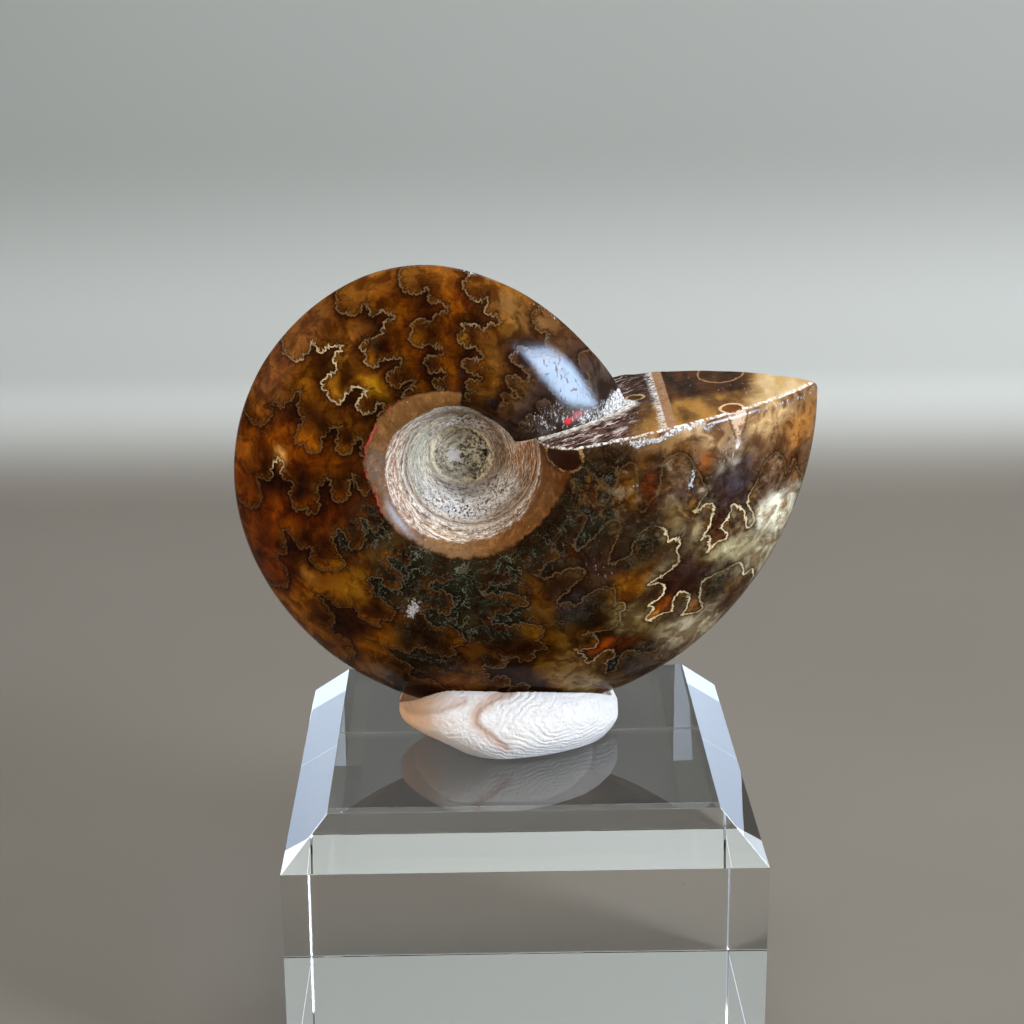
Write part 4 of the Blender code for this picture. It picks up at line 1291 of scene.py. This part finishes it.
# ---------------------------------------------------------------- the putty
PUTTY_CENTRE = Vector((-1.15, 0.4, 25.3)) * MM  # of its foot
PUTTY_SIZE = (9.6 * MM, 7.7 * MM, 6.3 * MM)  # half-widths and height, before it's pressed
PUTTY_FOOT = 0.92  # the foot's width, as a share of the widest
PUTTY_UNDERCUT = 0.30  # how much narrower it is under the left end, which overhangs
PUTTY_WAIST = 0.28  # the share of the height at which the lump is widest, and what the left end adds
PUTTY_LEFT_WAIST = 0.24
PUTTY_TOP = 0.01  # the top's width, as a share of the widest
PUTTY_CURVE = 2.4  # how square its shoulders are
PUTTY_SIDES = 440
PUTTY_LEVELS = 110
PUTTY_LIFT = 0.2 * MM  # the most that its relief may stand out
PRESS_GAP = 0.25 * MM
PRESS_STEPS = 9  # each one halves what is left to find
PRESS_AT = (3.2, 28.4)  # where a fingertip pressed its front: x and z in mm, like the folds below
FOLD_RIDGE = ((-3.4, 29.9), (-3.2, 28.8))
CURL = ((-0.6, 30.9), (-2.6, 30.4), (-4.0, 29.6), (-4.0, 28.7), (-2.9, 27.9), (-1.4, 26.6))
SLIT = ((-10.0, 29.4), (-7.4, 29.6), (-4.9, 30.3))


def putty_places():
    """Points of the lump, level by level."""
    rise = np.sin(np.pi / 2 * np.linspace(0, 1, PUTTY_LEVELS + 1))[:, None]
    angle = np.linspace(0, 2 * np.pi, PUTTY_SIDES, endpoint=False)[None, :]
    left = smoothstep(0.0, 1.0, -np.cos(angle))
    foot, waist = PUTTY_FOOT - PUTTY_UNDERCUT * left, PUTTY_WAIST + PUTTY_LEFT_WAIST * left
    waisted = foot + (1 - foot) * np.sin(np.pi / 2 * np.minimum(rise / waist, 1))
    over = np.clip((rise - waist) / (1 - waist), 0, 1)
    spread = np.where(rise < waist, waisted, np.sqrt(1 - over**PUTTY_CURVE))
    pressed = 1 + 0.035 * np.sin(2 * angle + 0.6) + 0.025 * np.sin(3 * angle + 2.0)
    reach = pressed * np.maximum(spread, PUTTY_TOP)
    x = PUTTY_SIZE[0] * reach * np.cos(angle)
    y = PUTTY_SIZE[1] * reach * np.sin(angle)
    z = PUTTY_SIZE[2] * rise + 0 * angle
    return np.stack([x, y, z], -1).reshape(-1, 3) + np.array(PUTTY_CENTRE)


def putty_faces():
    sides = range(PUTTY_SIDES)
    faces = [list(sides)[::-1]]
    for base in range(0, PUTTY_LEVELS * PUTTY_SIDES, PUTTY_SIDES):
        over = base + PUTTY_SIDES
        for side in sides:
            after = (side + 1) % PUTTY_SIDES
            faces.append([base + side, base + after, over + after, over + side])
    faces.append([over + side for side in sides])
    return faces


def along(points, *corners):
    """Distance in mm, seen from the front, from each point to a line through the corners."""
    best = np.full(len(points), 99.0)
    flat = points[:, [0, 2]] / MM
    for a, b in zip(np.array(corners, float), np.array(corners, float)[1:]):
        way = np.clip((flat - a) @ (b - a) / ((b - a) @ (b - a)), 0, 1)
        best = np.minimum(best, np.hypot(*(flat - a - way[:, None] * (b - a)).T))
    return best


def putty_relief(points):
    """Fingerprint ridges, folds and creases, as mm of rise, and how much painted shade each point takes from
    a crease.
    """
    x, y, z = (points / MM).T
    drift = wander(points, 2.2 * MM, 2, 2.2)
    fine = wander(points, 0.6 * MM, 3, 6.6)
    # Ridges of a fingertip pressed on the right, and finer wrinkles on the left.
    arcs = np.hypot((x - 3.2) * 0.55, (z - 28.6) * 1.15 + 0.35 * y) + 0.2 * drift
    print_ridges = np.sin(2 * np.pi * arcs / 0.42)
    where = smoothstep(-4.5, -2.0, x) * (1 - smoothstep(6.5, 9.0, x)) * smoothstep(25.8, 26.6, z)
    rise = 0.012 * print_ridges * where * (0.6 + 0.4 * smoothstep(-0.3, 0.4, drift))
    folds = wander(points * np.array([1.0, 1.0, 2.2]) + 0.35 * MM * drift[:, None], 0.8 * MM, 3, 4.1)
    left = 1 - smoothstep(-4.5, -1.5, x)
    rise += 0.06 * (1 - 2 * np.abs(folds)) * (0.25 + 0.75 * left) * smoothstep(25.4, 26.2, z)
    rise += 0.12 * wander(points, 4.5 * MM, 2, 9.4) + 0.025 * fine
    front = y < 2
    off_curl, off_slit, off_ridge = (along(points, *line) for line in (CURL, SLIT, FOLD_RIDGE))
    rise -= front * (0.12 * groove(off_curl, 0.22) + 0.08 * groove(off_slit, 0.16))
    rise += front * 0.10 * groove(off_ridge, 0.30)
    # How much painted shade the creases get.
    crease_shade = groove(off_curl + 0.1 * drift, 0.42) + 0.7 * groove(off_slit, 0.3)
    return rise * MM, np.clip(crease_shade, 0, 1) * front


def pressed_under(points, form):
    """Points that would lie in the shell, or too near it, come down until they clear it."""
    tree = BVHTree.FromBMesh(form)

    def clear(point):
        near, normal, _, far = tree.find_nearest(point)
        return far > PRESS_GAP and (point - near).dot(normal) > 0

    floor = PUTTY_CENTRE.z
    for index, place in enumerate(points):
        point = Vector(place)
        if clear(point):
            continue
        low, high = floor, point.z
        for _ in range(PRESS_STEPS):
            middle = (low + high) / 2
            if clear(Vector((point.x, point.y, middle))):
                low = middle
            else:
                high = middle
        points[index][2] = low
    return points


def putty_material():
    look = Surface("white_putty")
    mix, ease, noise = look.mix, look.ease, look.noise
    x, _, z = look.parts(look.at)
    colour = mix(noise(0.35, 3, 0.5), (233, 232, 232), (243, 240, 235))
    # Painted warm bounce light: the left end of the lump turns tan.
    warm_bounce_tint = mix(noise(1.0, 2, 0.5), (244, 184, 126), (248, 208, 166))
    colour = mix(ease(x + noise(0.6, 3, 0.6) * 5.0 - 2.5, -10.2, -5.4, 0.9, 0.0), colour, warm_bounce_tint)
    # Painted shade in the creases.
    colour = mix(look.attribute("crease_shade") * 0.7, colour, (184, 140, 108))
    colour = mix(look.specks(0.8, 0.07, 0.25) * 0.6, colour, (120, 104, 92))
    # Painted shade: the foot, under the lump's widest part, turns a cooler grey.
    colour = mix(ease(z, 25.4, 27.0, 0.35, 0.0), colour, (186, 194, 206))
    look.set(base_color=colour, roughness=noise(2.0, 3, 0.6) * 0.15 + 0.5, specular_ior_level=0.12)
    look.set(subsurface_weight=0.2, subsurface_radius=(1.0, 0.8, 0.65), subsurface_scale=0.4 * MM)
    # Skin prints: fine arcs round the press on the right, short wrinkles elsewhere.
    from_press = look.vector("SUBTRACT", look.at, (PRESS_AT[0], 0.0, PRESS_AT[1]))
    from_press = look.vector("MULTIPLY", from_press, (0.5, 0.3, 1.2))
    arcs = look.vector("LENGTH", from_press) + noise(0.5, 3, 0.6) * 1.2
    prints = look.math("SINE", arcs * (2 * math.pi / 0.30)) * ease(x, -4.0, -1.0, 0.04, 0.16)
    wrinkles = noise(1.0, 4, 0.75, at=look.warped(0.5, 3, 1.6), stretch=(1.3, 1.3, 3.4))
    look.set(normal=look.bump(prints + wrinkles, 0.22 * MM, 0.9))
    return look.material


def add_putty(ammonite):
    points = putty_places()
    outwards = points - np.array(PUTTY_CENTRE)
    outwards[:, 2] = np.maximum(outwards[:, 2] * 1.4, 0.5 * MM)
    outwards /= np.linalg.norm(outwards, axis=1)[:, None]
    rise, crease_shade = putty_relief(points)
    low, high = (np.array(corner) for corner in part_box("putty"))
    foot = smoothstep(0.0, 0.5 * MM, points[:, 2] - low[2])
    points += outwards * (np.minimum(rise, PUTTY_LIFT) * foot)[:, None]
    points = np.clip(points, low, high)
    form = bmesh.new()
    form.from_mesh(ammonite.data)
    points = pressed_under(points, form)
    form.free()
    # Both ends sag.
    x = points[:, 0] / MM
    lower = 0.20 * smoothstep(-6.0, -10.6, x) + 0.05 * smoothstep(6.5, 8.8, x)
    points[:, 2] -= lower * (points[:, 2] - low[2])
    mesh = bpy.data.meshes.new("putty_lump")
    mesh.from_pydata(points.tolist(), [], putty_faces())
    store(mesh, "crease_shade", crease_shade)
    mesh.shade_smooth()
    return add_piece("putty_lump", mesh, putty_material())


# ---------------------------------------------------------------- the block
BLOCK_BEVEL = 3.7 * MM
BLOCK_EASE = 0.025 * MM
BACK_EASE = 0.16 * MM  # the back face's upright and bottom edges are rounder


def acrylic_material():
    look = Surface("clear_acrylic")
    dust = look.specks(0.33, 0.045, 0.3) * 0.5
    smear = look.ease(look.noise(0.4, 3, 0.6), 0.55, 0.8)
    look.set(base_color=look.mix(dust, (252, 254, 254), (190, 190, 186)), roughness=smear * 0.006 + dust)
    look.set(transmission_weight=1.0, ior=1.49)
    look.set(normal=look.bump(look.noise(0.12, 1, 0.4), 0.05 * MM, 0.03))
    absorbed = ("Color", rgba((246, 242, 236))), ("Density", 4.0)
    look.plug(look.node("VolumeAbsorption", 0, absorbed), look.output.inputs["Volume"])
    return look.material


def add_block():
    low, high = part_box("display_block")
    form = bmesh.new()
    bmesh.ops.create_cube(form, size=1.0)
    form.transform(Matrix.Translation((low + high) / 2) @ Matrix.Diagonal((*(high - low), 1)))

    def bevel(edges, offset, segments):
        bmesh.ops.bevel(form, geom=edges, offset=offset, affect="EDGES", segments=segments, profile=0.5)

    def rounder(edge):
        places = [v.co for v in edge.verts]
        upright = abs((places[0] - places[1]).normalized().z) > 0.99
        at_foot = all(place.z < low.z + 2 * BACK_EASE for place in places)
        return all(place.y > high.y - 2 * BACK_EASE for place in places) and (upright or at_foot)

    def front_rim(edge):
        return all(v.co.z > high.z - BLOCK_EASE and v.co.y < 0 for v in edge.verts)

    middle = (low.z + high.z) / 2
    bevel([edge for edge in form.edges if min(v.co.z for v in edge.verts) > middle], BLOCK_BEVEL, 1)
    bevel([edge for edge in form.edges if rounder(edge)], BACK_EASE, 4)
    long = [edge for edge in form.edges if edge.calc_length() > BLOCK_BEVEL / 2]
    bevel([edge for edge in long if not rounder(edge) and not front_rim(edge)], BLOCK_EASE, 3)
    rim = [edge for edge in form.edges if front_rim(edge) and edge.calc_length() > BLOCK_BEVEL]
    bevel(rim, BLOCK_EASE / 2, 2)
    mesh = bpy.data.meshes.new("display_block_polished")
    form.to_mesh(mesh)
    form.free()
    mesh.shade_flat()
    return add_piece("display_block_polished", mesh, acrylic_material())


# ---------------------------------------------------------------- stage, camera and lights
FLOOR_SIZE = 3.0
WALL_Y = 0.172
COVE_RADIUS = 0.018
COVE_STEPS = 12
FLOOR_Z = -0.05 * MM  # a hair under the block, so that the two faces don't coincide
CAMERA_AT = (-0.00348, -0.1718, 0.0988)
CAMERA_YAW = math.radians(0.98)  # towards +X
CAMERA_PITCH = math.radians(17.12)  # downwards
CAMERA_ROLL = math.radians(-0.43)
LENS = 72.316
SENSOR = 36.0


def sweep_material():
    look = Surface("pale_sweep")
    mix, ease, noise = look.mix, look.ease, look.noise
    x, y, z = look.parts(look.at)
    floor = mix(noise(0.02, 2, 0.5), (116, 110, 101), (124, 118, 109))
    # Little light gets under the block. A faint glow stands for what the clear block lets through.
    off = look.math("MAXIMUM", abs(x), abs(y))
    floor = mix(ease(off, 18.5, 20.5, 0.92, 0.0), floor, (72, 70, 67))
    look.set(emission_color=rgba((255, 244, 232)), emission_strength=ease(off, 18.5, 20.5, 0.03, 0.0))
    wall = mix(ease(z, 26.0, 58.0), (204, 206, 200), (164, 166, 160))
    wall = mix(noise(0.01, 2, 0.5), wall, mix(0.06, wall, (255, 255, 255)))
    look.set(base_color=mix(ease(z, 0.0, 16.0), floor, wall), roughness=0.8, specular_ior_level=0.1)
    # From behind, the wall doesn't hide the object.
    plain = Signal(look, look.shader.outputs[0])
    blended = look.node("NewGeometry", "Backfacing"), plain, look.node("BsdfTransparent", 0)
    look.plug(look.node("MixShader", 0, enumerate(blended)), look.output.inputs["Surface"])
    return look.material


def add_sweep():
    """The pale floor, turned up at the back into a wall of a cooler grey."""
    half = FLOOR_SIZE / 2
    start = WALL_Y - COVE_RADIUS
    profile = [(-half, FLOOR_Z)]
    for step in range(COVE_STEPS + 1):
        angle = math.pi / 2 * step / COVE_STEPS
        profile.append((start + COVE_RADIUS * math.sin(angle), FLOOR_Z + COVE_RADIUS * (1 - math.cos(angle))))
    profile.append((WALL_Y, half))
    corners = [(x, y, z) for y, z in profile for x in (-half, half)]
    faces = [(2 * k, 2 * k + 1, 2 * k + 3, 2 * k + 2) for k in range(len(profile) - 1)]
    # The floor goes on behind the wall.
    behind = len(corners)
    corners += [(x, y, FLOOR_Z) for y in (start, half) for x in (-half, half)]
    faces.append((behind, behind + 1, behind + 3, behind + 2))
    mesh = bpy.data.meshes.new("sweep")
    mesh.from_pydata(corners, [], faces)
    mesh.shade_smooth()
    add_piece("sweep", mesh, sweep_material())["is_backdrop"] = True


def add_camera():
    yaw, pitch, roll = CAMERA_YAW, CAMERA_PITCH, CAMERA_ROLL
    forward = Vector((math.sin(yaw) * math.cos(pitch), math.cos(yaw) * math.cos(pitch), -math.sin(pitch)))
    level = Vector((math.cos(yaw), -math.sin(yaw), 0))
    above = level.cross(forward)
    right = level * math.cos(roll) + above * math.sin(roll)
    up = above * math.cos(roll) - level * math.sin(roll)
    data = bpy.data.cameras.new("camera")
    data.lens = LENS
    data.sensor_width = SENSOR
    data.clip_start = 0.01
    camera = bpy.data.objects.new("camera", data)
    camera.matrix_world = Matrix.Translation(CAMERA_AT) @ Matrix((right, up, -forward)).transposed().to_4x4()
    bpy.context.scene.collection.objects.link(camera)
    bpy.context.scene.camera = camera


def only(name, *pieces):
    """A collection of pieces for a light that falls on nothing else."""
    group = bpy.data.collections.new(name)
    for piece in pieces:
        group.objects.link(piece)
    return group


def add_light(name, place, aim, width, height, power, colour, diffuse=True, glossy=True, on=None):
    data = bpy.data.lights.new(name, "AREA")
    data.shape = "RECTANGLE"
    data.size, data.size_y = width, height
    data.energy = power
    data.color = linear(*colour)
    light = bpy.data.objects.new(name, data)
    light.location = place
    light.rotation_euler = (Vector(aim) - Vector(place)).to_track_quat("-Z", "Y").to_euler()
    light.visible_diffuse, light.visible_glossy, light.visible_camera = diffuse, glossy, False
    if on is not None:
        light.light_linking.receiver_collection = on
    bpy.context.scene.collection.objects.link(light)


def add_lighting():
    world = bpy.data.worlds.new("studio")
    world.use_nodes = True
    background = world.node_tree.nodes["Background"]
    background.inputs["Color"].default_value = (*linear(206, 210, 208), 1)
    background.inputs["Strength"].default_value = 0.22
    bpy.context.scene.world = world
    bpy.context.scene.view_settings.view_transform = "Standard"
    centre, middle = (0, 0, 0.045), (0, 0, 0.023)
    fossil, clear = only("fossil", ammonite), only("clear", block)
    everything = only("object", ammonite, putty, block)
    # The window lights the object; its gleam on the polish is a light of its own.
    add_light("window", (0.37, -0.25, 0.19), centre, 0.12, 0.17, 2.5, (234, 243, 255), glossy=False)
    add_light("gleam", (0.352, -0.238, 0.183), centre, 0.17, 0.19, 21.0, (190, 220, 255), diffuse=False,
              on=fossil)
    add_light("above", (0.05, -0.12, 0.50), centre, 0.30, 0.30, 1.3, (255, 250, 242), glossy=False)
    add_light("over_back", (0.0, 0.12, 0.34), centre, 0.30, 0.08, 0.5, (240, 246, 255))
    add_light("bounce", (-0.36, -0.22, 0.06), centre, 0.30, 0.20, 0.9, (255, 232, 212), glossy=False,
              on=everything)
    # What the block's side bevels show: in reflection, and by way of its other faces.
    for side in (-1, 1):
        add_light("panel", (side * 0.55, 0.05, 0.32), centre, 0.45, 0.40, 0.5, (222, 228, 255))
        add_light("beside", (side * 0.098, 0.150, 0.012), middle, 0.150, 0.040, 0.036, (206, 226, 255),
                  diffuse=False, on=clear)
        add_light("behind", (side * 0.176, 0.148, 0.165), middle, 0.16, 0.12, 0.045, (214, 232, 255),
                  diffuse=False, glossy=False, on=clear)
        add_light("before", (side * 0.327, -0.274, 0.286), middle, 0.26, 0.22, 0.12, (214, 232, 255),
                  diffuse=False, glossy=False, on=clear)


ammonite = add_ammonite()
putty = add_putty(ammonite)
block = add_block()
for piece, node, slot in (
    (ammonite, "ammonite", "polished_fossil"),
    (putty, "putty", "white_putty"),
    (block, "display_block", "clear_acrylic"),
):
    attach(piece, "root")
    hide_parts(node)
add_sweep()
add_camera()
add_lighting()

sizes = {"cad": cad_box, "visual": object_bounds()}
{name: [list(map(float, corner)) for corner in box] for name, box in sizes.items()}
